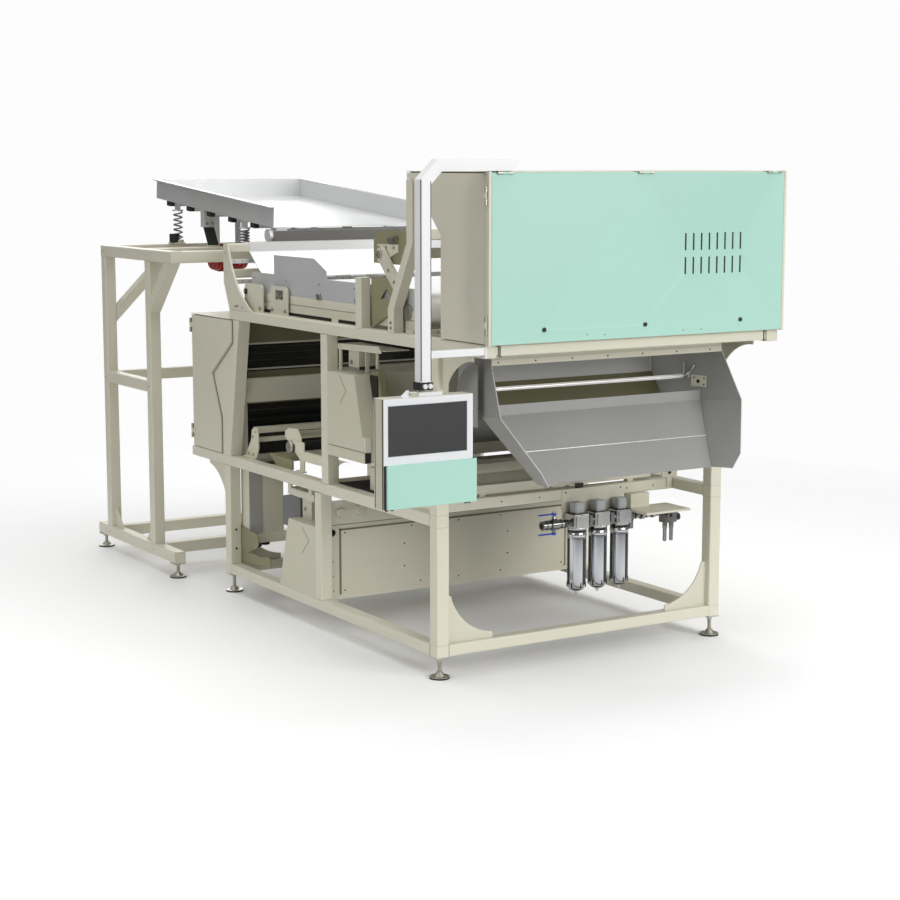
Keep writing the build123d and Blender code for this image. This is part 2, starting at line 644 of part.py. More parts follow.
def inlet_guards():
    """Bright side strips, the upright guards on them and the windowed end plates."""
    x0 = TUBE + NECK_IN - STRIP_T
    base = BEAM_Z + BEAM_H
    front = BELT_FRONT_Y - BEAM_TAIL
    rear = BELT_REAR_Y + BEAM_TAIL
    strip = block(x0, x0 + STRIP_T, front, rear, base, base + NECK_H + STRIP_H)
    for y in (BELT_FRONT_Y, BELT_REAR_Y):
        strip -= rod("x", (y, ROLLER_Z), AXLE_R, x0 - 1, x0 + STRIP_T + 1)
    low = base + NECK_H
    guard_low = low + STRIP_H
    guard_rear = PLATE_B_Y[1]
    long_cut, high_cut = GUARD_CHAMFER
    guard = prism_x(((GUARD_FRONT_Y, guard_low), (guard_rear, guard_low), (guard_rear, guard_low + GUARD_H),
                     (GUARD_FRONT_Y + long_cut, guard_low + GUARD_H),
                     (GUARD_FRONT_Y, guard_low + GUARD_H - high_cut)), x0, x0 + GUARD_T)
    return pair(strip, guard)


def stand_posts():
    posts = [tube("z", STAND_L, STAND_IN, y, y + TUBE, SLED_Z + TUBE, STAND_TOP_Z) for y in STAND_POST_Y]
    return pair(*posts)


def stand_base():
    sled = tube("y", STAND_L, STAND_IN, *SLED_Y, SLED_Z, SLED_Z + TUBE)
    across = FRAME_W - STAND_IN
    cross = [tube("x", STAND_IN, across, y, y + TUBE, SLED_Z, SLED_Z + TUBE) for y in STAND_POST_Y]
    return [*pair(sled), *cross]


def stand_rails():
    rear_y = STAND_POST_Y[1]
    across = FRAME_W - STAND_IN
    side = tube("y", STAND_L, STAND_IN, STAND_FRONT_Y, rear_y + TUBE, STAND_TOP_Z, STAND_TOP)
    cross_at = (STAND_FRONT_Y, STAND_CROSS_Y, rear_y)
    cross = [tube("x", STAND_IN, across, y, y + TUBE, STAND_TOP_Z, STAND_TOP) for y in cross_at]
    middle = tube("y", STAND_L, STAND_IN, STAND_POST_Y[0] + TUBE, rear_y, STAND_MID_Z, STAND_MID_Z + TUBE)
    back = tube("x", STAND_IN, across, rear_y, rear_y + TUBE, STAND_MID_Z, STAND_MID_Z + TUBE)
    return [*pair(side, middle), *cross, back, *stand_braces()]


def stand_braces():
    """Forty-five degree tubes in the corners of the stand and the small plates at its feet."""
    run = BRACE_H * math.sqrt(2)
    wall = TUBE_WALL
    skin = wall * math.sqrt(2)
    post_y = STAND_POST_Y[0]

    def leaning(face, low, top, sign, inset):
        lo = low + inset
        hi = low + run - inset
        return ((face, lo), (face, hi), (face + sign * (top - hi), top), (face + sign * (top - lo), top))

    side = prism_x(leaning(post_y, SIDE_BRACE_Z, STAND_TOP_Z, -1, 0), STAND_L, STAND_IN)
    side -= prism_x(leaning(post_y, SIDE_BRACE_Z, STAND_TOP_Z, -1, skin), STAND_L + wall, STAND_IN - wall)
    rear_y = STAND_POST_Y[1]
    cross = prism_y(leaning(STAND_IN, CROSS_BRACE_Z, STAND_TOP_Z, 1, 0), rear_y, rear_y + TUBE)
    cross -= prism_y(leaning(STAND_IN, CROSS_BRACE_Z, STAND_TOP_Z, 1, skin), rear_y + wall, rear_y + TUBE - wall)
    base = SLED_Z + TUBE
    mid = STAND_L + TUBE / 2
    plate = prism_x(((post_y + TUBE, base), (post_y + TUBE + STAND_GUSSET, base),
                     (post_y + TUBE, base + STAND_GUSSET)), mid - GUSSET_T / 2, mid + GUSSET_T / 2)
    plate_rear = prism_x(((rear_y, base), (rear_y - STAND_GUSSET, base), (rear_y, base + STAND_GUSSET)),
                         mid - GUSSET_T / 2, mid + GUSSET_T / 2)
    return pair(side, cross, plate, plate_rear)


SLOPE = math.radians(TRAY_SLOPE)


def on_tray(shape):
    """Place a shape built along the tray floor, y from the front lip and z from its underside."""
    return Location((0, TRAY_FRONT_Y, TRAY_FRONT_Z), (TRAY_SLOPE, 0, 0)) * shape


def floor_z(y):
    """Height of the underside of the tray floor."""
    return TRAY_FRONT_Z + (y - TRAY_FRONT_Y) * math.tan(SLOPE)


def tray_pan():
    x0 = TRAY_X
    x1 = TRAY_X + TRAY_W
    body = block(x0, x1, 0, TRAY_L, 0, TRAY_H)
    body -= block(x0 + TRAY_T, x1 - TRAY_T, -1, TRAY_L - TRAY_T, TRAY_T, TRAY_H + 1)
    rim = GUSSET_LAND
    rims = block(x0 - rim, x0, 0, TRAY_L, TRAY_H - TRAY_T, TRAY_H)
    rim_right = block(x1, x1 + rim, 0, TRAY_L, TRAY_H - TRAY_T, TRAY_H)
    return [on_tray(body + rims + rim_right)]


def rib_places():
    return [RIB_FIRST + i * RIB_PITCH for i in range(RIB_COUNT)]


def tray_ribs():
    """Channels across the underside, the spring hangers and the motor plates."""
    x0 = TRAY_X + BLOCK_L
    x1 = TRAY_X + TRAY_W - BLOCK_L
    pieces = []
    for y in rib_places():
        rib = block(x0, x1, y - RIB_W / 2, y + RIB_W / 2, -RIB_H, 0)
        rib -= block(x0 + RIB_T, x1 - RIB_T, y - RIB_W / 2 + RIB_T, y + RIB_W / 2 - RIB_T,
                     -RIB_H - 1, -RIB_T)
        pieces.append(on_tray(rib))
    axis_x = TRAY_X + SPRING_X
    for y in SPRING_Y:
        low = floor_z(y) - HANGER_DROP
        hanger = prism_x(((y - SEAT_R, low), (y + SEAT_R, low), (y + SEAT_R, floor_z(y + SEAT_R)),
                          (y - SEAT_R, floor_z(y - SEAT_R))), axis_x - HANGER_T / 2, axis_x + HANGER_T / 2)
        seat = rod("z", (axis_x, y), SEAT_R, low - HANGER_T, low)
        pieces += pair(hanger + seat)
    return pieces + tray_clamps()


def rib_blocks():
    pieces = []
    for y in rib_places():
        cap = block(TRAY_X, TRAY_X + BLOCK_L, y - RIB_W / 2, y + RIB_W / 2, -RIB_H, 0)
        pieces += pair(on_tray(cap))
    return pieces


def spring_seats():
    """Cups under the coil springs and feet under the leaf springs."""
    x = TRAY_X + SPRING_X
    pieces = []
    for y, end in zip(SPRING_Y, (SPRING_Y[0] + SEAT_R, STAND_POST_Y[1] + TUBE)):
        cup = rod("z", (x, y), SEAT_R, STAND_TOP, STAND_TOP + SEAT_H)
        cup -= rod("z", (x, y), SPRING_R + SPRING_WIRE + 1, STAND_TOP + HANGER_T, STAND_TOP + SEAT_H + 1)
        cup += block(x - SEAT_R, x + SEAT_R, y - SEAT_R, end, STAND_TOP, STAND_TOP + HANGER_T)
        pieces += pair(cup)
    foot_mid = block(TRAY_X, TRAY_X + LEAF_W, LEAF_Y - LEAF_T, LEAF_Y + 3 * LEAF_T, STAND_TOP,
                     STAND_TOP + HANGER_T)
    low = GANTRY_BEAM_Z[0] + GANTRY_BEAM
    foot_front = block(LIP_LEAF_X, LIP_LEAF_X + LEAF_W, GANTRY_Y, GANTRY_Y + GANTRY_BEAM, low,
                       low + HANGER_T)
    return pieces + pair(foot_mid, foot_front)


def coil_springs():
    pieces = []
    for y in SPRING_Y:
        low = STAND_TOP + HANGER_T + SEAT_GAP + SPRING_WIRE
        top = floor_z(y) - HANGER_DROP - HANGER_T - SEAT_GAP - SPRING_WIRE
        path = Helix((top - low) / SPRING_TURNS, top - low, SPRING_R)
        wire = Plane(path @ 0, z_dir=path % 0) * Circle(SPRING_WIRE)
        coil = sweep(wire, path=path, is_frenet=True)
        pieces += pair(Pos(TRAY_X + SPRING_X, y, low) * coil)
    return pieces


def leaf_outline(y, z, rise, lean, thick):
    return ((y, z), (y + thick, z), (y + thick + lean, z + rise), (y + lean, z + rise))


def leaf_springs():
    """Inclined black leaves: a pair under the middle of the tray and a pair under its lip."""
    middle = prism_x(leaf_outline(LEAF_Y, STAND_TOP + HANGER_T, LEAF_RISE, LEAF_LEAN, LEAF_T),
                     TRAY_X, TRAY_X + LEAF_W)
    front_low = GANTRY_BEAM_Z[0] + GANTRY_BEAM + HANGER_T
    front_rise = LIP_CLAMP_Z - front_low
    front = prism_x(leaf_outline(GANTRY_Y + LEAF_T, front_low, front_rise, LEAF_LEAN / 2, LEAF_T),
                    LIP_LEAF_X, LIP_LEAF_X + LEAF_W)
    return pair(middle, front)


def tray_clamps():
    top = STAND_TOP + HANGER_T + LEAF_RISE
    y0 = LEAF_Y + LEAF_LEAN - LEAF_T
    y1 = y0 + 6 * LEAF_T
    mid = prism_x(((y0, top), (y1, top), (y1, floor_z(y1)), (y0, floor_z(y0))), TRAY_X, TRAY_X + LEAF_W)
    y2 = GANTRY_Y + LEAF_LEAN / 2
    slab = 5 * LEAF_T
    top = LIP_TUBE_Z - LIP_TUBE_R + LEAF_T
    front = prism_x(((y2 - LEAF_T, LIP_CLAMP_Z), (y2 + slab, LIP_CLAMP_Z), (LIP_TUBE_Y + slab / 2, top),
                     (LIP_TUBE_Y - slab / 4, top)), LIP_LEAF_X + LEAF_W / 2, LIP_LEAF_X + LEAF_W)
    pad = block(LIP_LEAF_X, LIP_LEAF_X + LEAF_W, y2 - LEAF_T, y2 + slab, LIP_CLAMP_Z, LIP_CLAMP_Z + LEAF_T)
    front -= rod("x", (LIP_TUBE_Y, LIP_TUBE_Z), LIP_TUBE_R, LIP_LEAF_X, TRAY_X + TRAY_W)
    return pair(mid, front + pad)


def vibrator_motors():
    """Two out-of-balance motors with end covers on plates under the tray."""
    x0 = MOTOR_X
    x1 = MOTOR_X + MOTOR_L
    body = rod("x", (MOTOR_Y, MOTOR_Z), MOTOR_R, x0, x1)
    cover = rod("x", (MOTOR_Y, MOTOR_Z), MOTOR_R * 0.86, x0 - 26, x0)
    cover_in = rod("x", (MOTOR_Y, MOTOR_Z), MOTOR_R * 0.86, x1, x1 + 26)
    web_y = MOTOR_Y - MOTOR_PLATE_T / 2
    web = prism_x(((web_y, MOTOR_Z + MOTOR_R - 10), (web_y + MOTOR_PLATE_T, MOTOR_Z + MOTOR_R - 10),
                   (web_y + MOTOR_PLATE_T, floor_z(web_y + MOTOR_PLATE_T)), (web_y, floor_z(web_y))), x0, x1)
    return pair(body + cover + cover_in + web)


def lip_tube():
    """Round tube under the front lip with saddles up to the tray floor."""
    x0 = TRAY_X - LIP_TUBE_OUT
    centre = (LIP_TUBE_Y, LIP_TUBE_Z)
    bar = rod("x", centre, LIP_TUBE_R, x0, FRAME_W - x0)
    offset_x, wide = SADDLE
    y0 = LIP_TUBE_Y - SEAT_R
    y1 = LIP_TUBE_Y + SEAT_R
    low = LIP_TUBE_Z
    for x in (TRAY_X + offset_x, FRAME_W - TRAY_X - offset_x - wide):
        bar += prism_x(((y0, low), (y1, low), (y1, floor_z(y1)), (y0, floor_z(y0))), x, x + wide)
    bar -= rod("x", centre, LIP_TUBE_R - RIB_T, x0 - 1, FRAME_W - x0 + 1)
    cap = rod("x", centre, LIP_TUBE_R, x0 - RIB_T, x0)
    return [bar, *pair(cap)]


def tray_flap():
    y1 = LIP_TUBE_Y - LIP_TUBE_R
    x0 = TRAY_X + TRAY_T
    flap = block(x0, FRAME_W - x0, y1 - FLAP_T, y1 + COVER_T, *FLAP_Z)
    flap -= rod("x", (LIP_TUBE_Y, LIP_TUBE_Z), LIP_TUBE_R, x0 - 1, FRAME_W - x0 + 1)
    for x in (TRAY_X + SADDLE[0], FRAME_W - TRAY_X - sum(SADDLE)):
        flap -= block(x - 1, x + SADDLE[1] + 1, y1, y1 + COVER_T + 1, LIP_TUBE_Z - 1, FLAP_Z[1] + 1)
    return [flap]


def gantry():
    """Two leaning side brackets with flared feet and the two cross beams between them."""
    upper_z = GANTRY_BEAM_Z[1] + GANTRY_BEAM
    back = GANTRY_Y + GANTRY_BEAM
    foot_y = UPPER_REAR - GANTRY_FOOT
    nose = GANTRY_Y - DROP_T
    side = make_face(Polyline((foot_y, DECK_TOP), (UPPER_REAR, DECK_TOP), (back, GANTRY_BEAM_Z[0] - 20),
                              (back, upper_z), (nose, upper_z))
                     + ThreePointArc((nose, upper_z), GANTRY_ARC, (foot_y, DECK_TOP)))
    bracket = extrude(Plane.YZ * side, amount=GANTRY_T, dir=(1, 0, 0))
    beams = [tube("x", GANTRY_T, FRAME_W - GANTRY_T, GANTRY_Y, back, z, z + GANTRY_BEAM)
             for z in GANTRY_BEAM_Z]
    return [*pair(bracket), *beams]


def drop_plate():
    """Bright sheet that turns the product from the tray down on to the belt."""
    top = GANTRY_BEAM_Z[1] + GANTRY_BEAM
    x0 = TUBE + BEAM_T + BELT_EDGE
    y0 = GANTRY_Y - DROP_T
    knee = GANTRY_BEAM_Z[1]
    sheet = ((DROP_REAR_Y, top), (DROP_REAR_Y, top + DROP_T), (y0, top + DROP_T), (y0, knee + DROP_T),
             (DROP_LOW_Y, DROP_LOW_Z + DROP_T), (DROP_LOW_Y, DROP_LOW_Z), (GANTRY_Y, knee), (GANTRY_Y, top))
    return [prism_x(sheet, x0, FRAME_W - x0)]


def door_outline(inset=0.0):
    """Left-hand rear door seen from the side, its front edge bent like the groove."""
    (ya, za), (yb, zb), (yc, zc) = DOOR_POINTS
    low = MIDDLE_TOP + DOOR_GAP + inset
    top = BOX_TOP_Z - SHEET - DOOR_GAP - inset
    rear = BOX_REAR_Y - inset
    return ((rear, low), (rear, top), (ya + JAMB_GAP + inset, top), (ya + JAMB_GAP + inset, za + inset / 2),
            (yb + JAMB_GAP + inset, zb), (yc + JAMB_GAP + inset, zc), (yc + JAMB_GAP + inset, low))


def left_rear_door():
    skin = prism_x(door_outline(), 0, DOOR_T)
    skin -= prism_x(door_outline(SHEET), COVER_T, DOOR_T + 1)
    x, y = DOOR_HINGE
    for z in DOOR_HINGE_Z:
        skin += rod("z", (x, y), HINGE_R, z, z + KNUCKLE)
        skin += block(x, 0, BOX_REAR_Y - KNUCKLE, BOX_REAR_Y, z, z + KNUCKLE)
        skin += block(x - HINGE_R, -HINGE_OUT, BOX_REAR_Y - HINGE_R, y - PIN_R - 1, z, z + KNUCKLE)
        skin -= rod("z", (x, y), PIN_R + PIN_FIT, z - 1, z + KNUCKLE + 1)
    return [skin]


def right_rear_door():
    return [other_side(left_rear_door()[0])]


def rear_box():
    """Top, back and front of the box on the rear of the middle rails, with its jambs and posts."""
    low = MIDDLE_TOP
    top = BOX_TOP_Z - SHEET
    back = block(DOOR_T, FRAME_W - DOOR_T, BOX_BACK_Y - SHEET, BOX_BACK_Y, low, top)
    roof = block(0, FRAME_W, UPPER_REAR, BOX_BACK_Y, top, BOX_TOP_Z)
    glass_top, glass_low, band_low, cream_low = BAND_Z
    face = BOX_FACE_Y
    post = block(TUBE, TUBE + BOX_POST, face + SHEET, face + SHEET + BOX_POST, low, top)
    upper = block(TUBE, FRAME_W - TUBE, face, face + SHEET, glass_top, top)
    bulge = block(TUBE, FRAME_W - TUBE, face - BAND_BULGE, face + SHEET, cream_low, band_low)
    bulge -= block(TUBE - 1, FRAME_W - TUBE + 1, face - BAND_BULGE + SHEET, face + SHEET + 1,
                   cream_low + SHEET, band_low - SHEET)
    (ya, za), (yb, zb), (yc, zc) = DOOR_POINTS
    lean = (LEAN_BOTTOM_Y - LEAN_TOP_Y) / (DECK_Z - MIDDLE_TOP)

    def lean_back(z):
        return LEAN_TOP_Y + LEAN_DEPTH + (DECK_Z - z) * lean
    jamb = prism_x(((lean_back(top), top), (ya, top), (ya, za), (yb, zb), (yc, zc), (yc, low),
                    (lean_back(low), low)), SHEET, 2 * SHEET)
    return [back, roof, upper, bulge, *pair(jamb, post)]


def view_windows():
    """Dark glass in front of the cameras, with the black panels beside it."""
    glass_top, glass_low, band_low, cream_low = BAND_Z
    x0 = TUBE + BOX_POST
    x1 = FRAME_W - x0
    face = BOX_FACE_Y + SHEET
    glass = block(x0, x1, face, face + WINDOW_T, glass_low, glass_top)
    strip = block(x0, x1, face - SHEET, face + WINDOW_T, glass_low - WINDOW_T, glass_low)
    dark = block(x0, x1, face, face + WINDOW_T, band_low, glass_low - WINDOW_T)
    lower = block(x0, x1, face, face + WINDOW_T, MIDDLE_TOP, cream_low)
    return [glass, strip, dark, lower]


def hinge_pins():
    """Fixed half of every hinge: pin, outer barrels and their leaf."""
    pieces = []
    x, y = DOOR_HINGE
    for z in DOOR_HINGE_Z:
        pieces += pair(fixed_hinge(x, y, z, (x, DOOR_T, BOX_BACK_Y - SHEET, BOX_BACK_Y)))
    x, y = CABINET_HINGE
    for z in CABINET_HINGE_Z:
        pieces += pair(fixed_hinge(x, y, z, (x, 0, y - HINGE_R, y + HINGE_R)))
    y, z = COVER_HINGE
    for x in COVER_HINGE_X:
        hinge = rod("x", (y, z), PIN_R, x - KNUCKLE, x + 2 * KNUCKLE)
        for low in (x - KNUCKLE, x + KNUCKLE + KNUCKLE_GAP):
            high = low + KNUCKLE - KNUCKLE_GAP
            hinge += rod("x", (y, z), HINGE_R, low, high)
            hinge += block(low, high, y, CABINET_FACE_Y, z + HINGE_R - COVER_T, z + HINGE_R)
        pieces.append(hinge)
    return pieces


def fixed_hinge(x, y, z, leaf):
    """Pin, two outer barrels and the leaf (x0, x1, y0, y1) that joins them to the wall."""
    hinge = rod("z", (x, y), PIN_R, z - KNUCKLE, z + 2 * KNUCKLE)
    for low in (z - KNUCKLE, z + KNUCKLE + KNUCKLE_GAP):
        high = low + KNUCKLE - KNUCKLE_GAP
        hinge += rod("z", (x, y), HINGE_R, low, high) + block(*leaf, low, high)
    return hinge


def cabinet_shell():
    """Folded body of the cabinet with its face frame and the two front corner posts."""
    t = CABINET_SKIN
    face = CABINET_FACE_Y
    rear = CABINET_REAR_Y
    back = CABINET_BACK_Y
    edge = CABINET_TOP - CABINET_LIFT
    x0 = SIDE_DOOR_T + COVER_T
    turn = rear + edge - CABINET_STEP_Z
    skew = t * (math.sqrt(2) - 1)
    outline = ((rear, CABINET_Z), (rear, CABINET_STEP_Z), (turn, edge), (back, edge), (back, CABINET_TOP),
               (back - t, CABINET_TOP), (back - t, edge + t), (turn - skew, edge + t),
               (rear - t, CABINET_STEP_Z + skew), (rear - t, CABINET_Z))
    body = prism_x(outline, x0, FRAME_W - x0)
    body += block(0, FRAME_W, face, rear, CABINET_Z, CABINET_Z + t)
    body += block(0, FRAME_W, face, back, CABINET_TOP - t, CABINET_TOP)
    frame = block(0, FRAME_W, face, face + t, CABINET_Z, CABINET_TOP)
    frame -= block(FACE_SIDE, FRAME_W - FACE_SIDE, face - 1, face + t + 1, *FACE_Z)
    body += frame
    for x in (0, FRAME_W - CORNER_POST):
        body += block(x, x + CORNER_POST, CABINET_FRONT_Y, face, CABINET_Z, CABINET_TOP)
    return [body]


def front_cover():
    """Folded front door of the cabinet with its vent slots, lock holes and hinge barrels."""
    x0 = CORNER_POST + COVER_GAP
    x1 = FRAME_W - x0
    z0 = CABINET_Z + 3 * COVER_GAP
    z1 = CABINET_TOP - 4
    y0 = CABINET_FRONT_Y
    y1 = CABINET_FACE_Y - COVER_GAP
    door = block(x0, x1, y0, y1, z0, z1)
    door -= block(x0 + COVER_T, x1 - COVER_T, y0 + COVER_T, y1 + 1, z0 + COVER_T, z1 - COVER_T)
    cutters = []
    for z in SLOT_Z:
        for i in range(SLOT_COUNT):
            x = SLOT_X + i * SLOT_PITCH
            cutters.append(block(x, x + SLOT_W, y0 - 1, y0 + COVER_T + 1, z, z + SLOT_H))
    cutters += [rod("y", (x, LOCK_Z), LOCK_HOLE_R, y0 - 1, y0 + COVER_T + 1) for x in LOCK_X]
    y, z = COVER_HINGE
    for x in COVER_HINGE_X:
        door += rod("x", (y, z), HINGE_R, x, x + KNUCKLE)
        door += block(x, x + KNUCKLE, y, y0 + COVER_T, z - HINGE_R, z - PIN_R)
        cutters.append(rod("x", (y, z), PIN_R + PIN_FIT, x - 1, x + KNUCKLE + 1))
    return [door - cutters]


def cover_locks():
    locks = []
    front = CABINET_FRONT_Y - LOCK_OUT
    back = CABINET_FRONT_Y + COVER_T
    for x in LOCK_X:
        lock = rod("y", (x, LOCK_Z), LOCK_R, front, CABINET_FRONT_Y)
        lock += rod("y", (x, LOCK_Z), LOCK_HOLE_R, CABINET_FRONT_Y, back + LOCK_R)
        lock -= block(x - 1, x + 1, front - 1, front + 2, LOCK_Z - LOCK_R / 2, LOCK_Z + LOCK_R / 2)
        cam = block(x - LOCK_R, x + LOCK_R, back + LOCK_R, back + LOCK_R + COVER_T, LOCK_Z - 2 * LOCK_R,
                    LOCK_Z + LOCK_R)
        locks.append(lock + cam)
    return locks


def left_cabinet_door():
    """Side door of the cabinet, hinged at its front edge."""
    low, top = SIDE_DOOR_Z
    step = CABINET_TOP - CABINET_LIFT + COVER_GAP
    turn = CABINET_REAR_Y + step - CABINET_STEP_Z
    end = CABINET_BACK_Y - 2 * CABINET_SKIN
    rear = CABINET_REAR_Y
    front = SIDE_DOOR_FRONT_Y
    outline = ((front, low), (rear, low), (rear, CABINET_STEP_Z), (turn, step), (end, step), (end, top),
               (front, top))
    t = COVER_T
    skew = t * (math.sqrt(2) - 1)
    hollow = ((front + t, low + t), (rear - t, low + t), (rear - t, CABINET_STEP_Z + skew),
              (turn - skew, step + t), (end - t, step + t), (end - t, top - t), (front + t, top - t))
    door = prism_x(outline, 0, SIDE_DOOR_T) - prism_x(hollow, t, SIDE_DOOR_T + 1)
    x, y = CABINET_HINGE
    for z in CABINET_HINGE_Z:
        door += rod("z", (x, y), HINGE_R, z, z + KNUCKLE)
        door += block(x + PIN_R, -HINGE_OUT, y, front + KNUCKLE, z, z + KNUCKLE)
        door += block(x + PIN_R, 0, front + COVER_T, front + KNUCKLE, z, z + KNUCKLE)
        door -= rod("z", (x, y), PIN_R + PIN_FIT, z - 1, z + KNUCKLE + 1)
    return [door]


def right_cabinet_door():
    return [other_side(left_cabinet_door()[0])]


def cabinet_struts():
    """Bent supports behind the cabinet, the inclined links bolted to them and the tie between."""
    y0, y1 = STRUT_FOOT_Y
    wall = TUBE_WALL
    rear = CABINET_BACK_Y
    fore = rear - (y1 - y0)
    edge = CABINET_TOP - CABINET_LIFT
    bent = ((y0, DECK_TOP), (y1, DECK_TOP), (y1, STRUT_BEND_Z), (rear, STRUT_TOP_Z), (rear, edge), (fore, edge),
            (fore, STRUT_TOP_Z), (y0, STRUT_BEND_Z))
    core = ((y0 + wall, DECK_TOP - 1), (y1 - wall, DECK_TOP - 1), (y1 - wall, STRUT_BEND_Z),
            (rear - wall, STRUT_TOP_Z), (rear - wall, edge + 1), (fore + wall, edge + 1),
            (fore + wall, STRUT_TOP_Z), (y0 + wall, STRUT_BEND_Z))
    strut = prism_x(bent, 0, STRUT_W) - prism_x(core, wall, STRUT_W - wall)
    (ya, za), (yb, zb) = LINK_FOOT, LINK_HEAD
    length = math.hypot(yb - ya, zb - za)
    dy = (zb - za) / length * LINK_W / 2
    dz = (yb - ya) / length * LINK_W / 2
    x1 = STRUT_W + LINK_T
    link = prism_x(((ya + dy, za - dz), (yb + dy, zb - dz), (yb - dy, zb + dz), (ya - dy, za + dz)), STRUT_W, x1)
    link += rod("x", (yb, zb), LINK_W / 2, STRUT_W, x1)
    link += rod("x", (yb, zb), LINK_W / 4, STRUT_W - LEAF_T, STRUT_W)
    half = LINK_TIE / 2
    tie = block(x1, FRAME_W - x1, yb - half, yb + half, zb - half, zb + half)
    return [*pair(strut, link), tie]


def pendant_arm():
    """Column, elbow and arm of the panel, its lower brace and the swivel coupling."""
    half = ARM / 2
    wall = TUBE_WALL
    x0, x1 = ARM_X - half, ARM_X + half
    y0, y1 = ARM_Y - half, ARM_Y + half
    low = ARM_LOW + COUPLING_H
    base = ARM_TOP - ARM

    def elbow(inset, bottom, end):
        skew = inset * (2 - math.sqrt(2))
        cut = ARM_CUT - skew
        inner = ARM_CUT - (ARM - inset) * (2 - math.sqrt(2))
        return ((x0 + inset, bottom), (x0 + inset, ARM_TOP - inset - cut), (x0 + inset + cut, ARM_TOP - inset),
                (end, ARM_TOP - inset), (end - half, base + inset), (x1 - inset + inner, base + inset),
                (x1 - inset, base + inset - inner), (x1 - inset, bottom))
    arm = prism_y(elbow(0, low, ARM_END_X), y0, y1)
    arm -= prism_y(elbow(wall, low - 1, ARM_END_X - 2 * wall), y0 + wall, y1 - wall)
    pad = block(*ARM_PAD_X, CABINET_FACE_Y, y1, CABINET_TOP, base)
    brace = tube("x", x1, -PLATE_T, y1 - ARM_BRACE_H, y1, ARM_BRACE_Z, ARM_BRACE_Z + ARM_BRACE_H, 2.0, 3.0)
    plate = block(-PLATE_T, 0, *BRACE_PLATE_Y, *BRACE_PLATE_Z)
    coupling = rod("z", (ARM_X, ARM_Y), COUPLING_R, ARM_LOW, low)
    coupling -= rod("z", (ARM_X, ARM_Y), SWIVEL_PIN_R + SWIVEL_FIT, ARM_LOW - 1, ARM_LOW + SWIVEL_DEPTH)
    return [arm, pad, brace, plate, coupling]


def panel_case():
    """Back box of the operator panel, its top bracket and the neck with the swivel pin."""
    x0, x1 = PANEL_X
    z1 = PANEL_Z[1]
    y0 = ARM_Y - PANEL_DEPTH / 2
    y1 = ARM_Y + PANEL_DEPTH / 2
    case = block(x0, x1, y0, y1, PANEL_SPLIT_Z, z1)
    case -= block(x0 + COVER_T, x1 - COVER_T, y0 - 1, y1 - COVER_T, PANEL_SPLIT_Z + COVER_T, z1 - COVER_T)
    case += block(*BRACKET_X, ARM_Y - ARM / 2, ARM_Y + ARM / 2, z1, z1 + BRACKET_H)
    case += rod("z", (ARM_X, ARM_Y), NECK_R, z1 + BRACKET_H, ARM_LOW - SWIVEL_GAP)
    case += rod("z", (ARM_X, ARM_Y), SWIVEL_PIN_R, ARM_LOW - SWIVEL_GAP, ARM_LOW + SWIVEL_DEPTH - COVER_T)
    return [case]


def panel_bezel():
    y1 = ARM_Y - PANEL_DEPTH / 2
    y0 = y1 - BEZEL_T
    frame = block(*PANEL_X, y0, y1, PANEL_SPLIT_Z, PANEL_Z[1])
    return [frame - block(*SCREEN_X, y0 - 1, y1 + 1, *SCREEN_Z)]


def panel_screen():
    y1 = ARM_Y - PANEL_DEPTH / 2
    pane = block(*SCREEN_X, y1 - BEZEL_T + SCREEN_IN, y1, *SCREEN_Z)
    back = block(SCREEN_X[0] - SHEET, SCREEN_X[1] + SHEET, y1, y1 + 4 * SHEET, SCREEN_Z[0] - SHEET,
                 SCREEN_Z[1] + SHEET)
    return [pane + back]


def panel_lower_box():
    """Lower cover of the panel, slightly proud of the screen frame."""
    x0, x1 = PANEL_X
    x1 += LOWER_BOX_WIDE
    y0 = ARM_Y - PANEL_DEPTH / 2 - BEZEL_T - LOWER_BOX_OUT
    y1 = ARM_Y + PANEL_DEPTH / 2
    t = COVER_T
    shell = block(x0, x1, y0, y1, PANEL_Z[0], PANEL_SPLIT_Z)
    return [shell - block(x0 + t, x1 - t, y0 + t, y1 + 1, PANEL_Z[0] + t, PANEL_SPLIT_Z - t)]


def cheek_x(y):
    """Outer face of the left cheek at a given depth; the cheeks close in to the rear."""
    front_x, front_y = CHEEK_FRONT[:2]
    rear_x, rear_y = CHUTE_TOP[:2]
    return front_x + (y - front_y) * (rear_x - front_x) / (rear_y - front_y)


def wing_x(y, z):
    """Outer face of the left wing, on the plane of the cheek's corner and the chute's edge."""
    a = Vector(*CHEEK_FRONT)
    normal = (Vector(*CHUTE_TOP) - a).cross(Vector(*CHUTE_FOOT) - a)
    return a.X - (normal.Y * (y - a.Y) + normal.Z * (z - a.Z)) / normal.X


def hood_side():
    """Left cheek and the wing folded from it, as one sheet."""
    inward = (1, 0, 0)
    side = ((CHEEK_FRONT[1], CHEEK_FRONT[2]), (CHEEK_TOP[1], CHEEK_TOP[2]), (CHEEK_TOP[1], HOOD_RIM_Z),
            (HOOD_BACK_Y, HOOD_RIM_Z), (HOOD_BACK_Y, CHUTE_TOP[2]), (CHUTE_TOP[1], CHUTE_TOP[2]))
    cheek = facet([(cheek_x(y), y, z) for y, z in side], HOOD_T, inward)
    corners = [CHEEK_FRONT, *[(wing_x(y, z), y, z) for y, z in WING_EDGE], CHUTE_FOOT, CHUTE_TOP]
    return cheek + facet(corners, HOOD_T, inward)


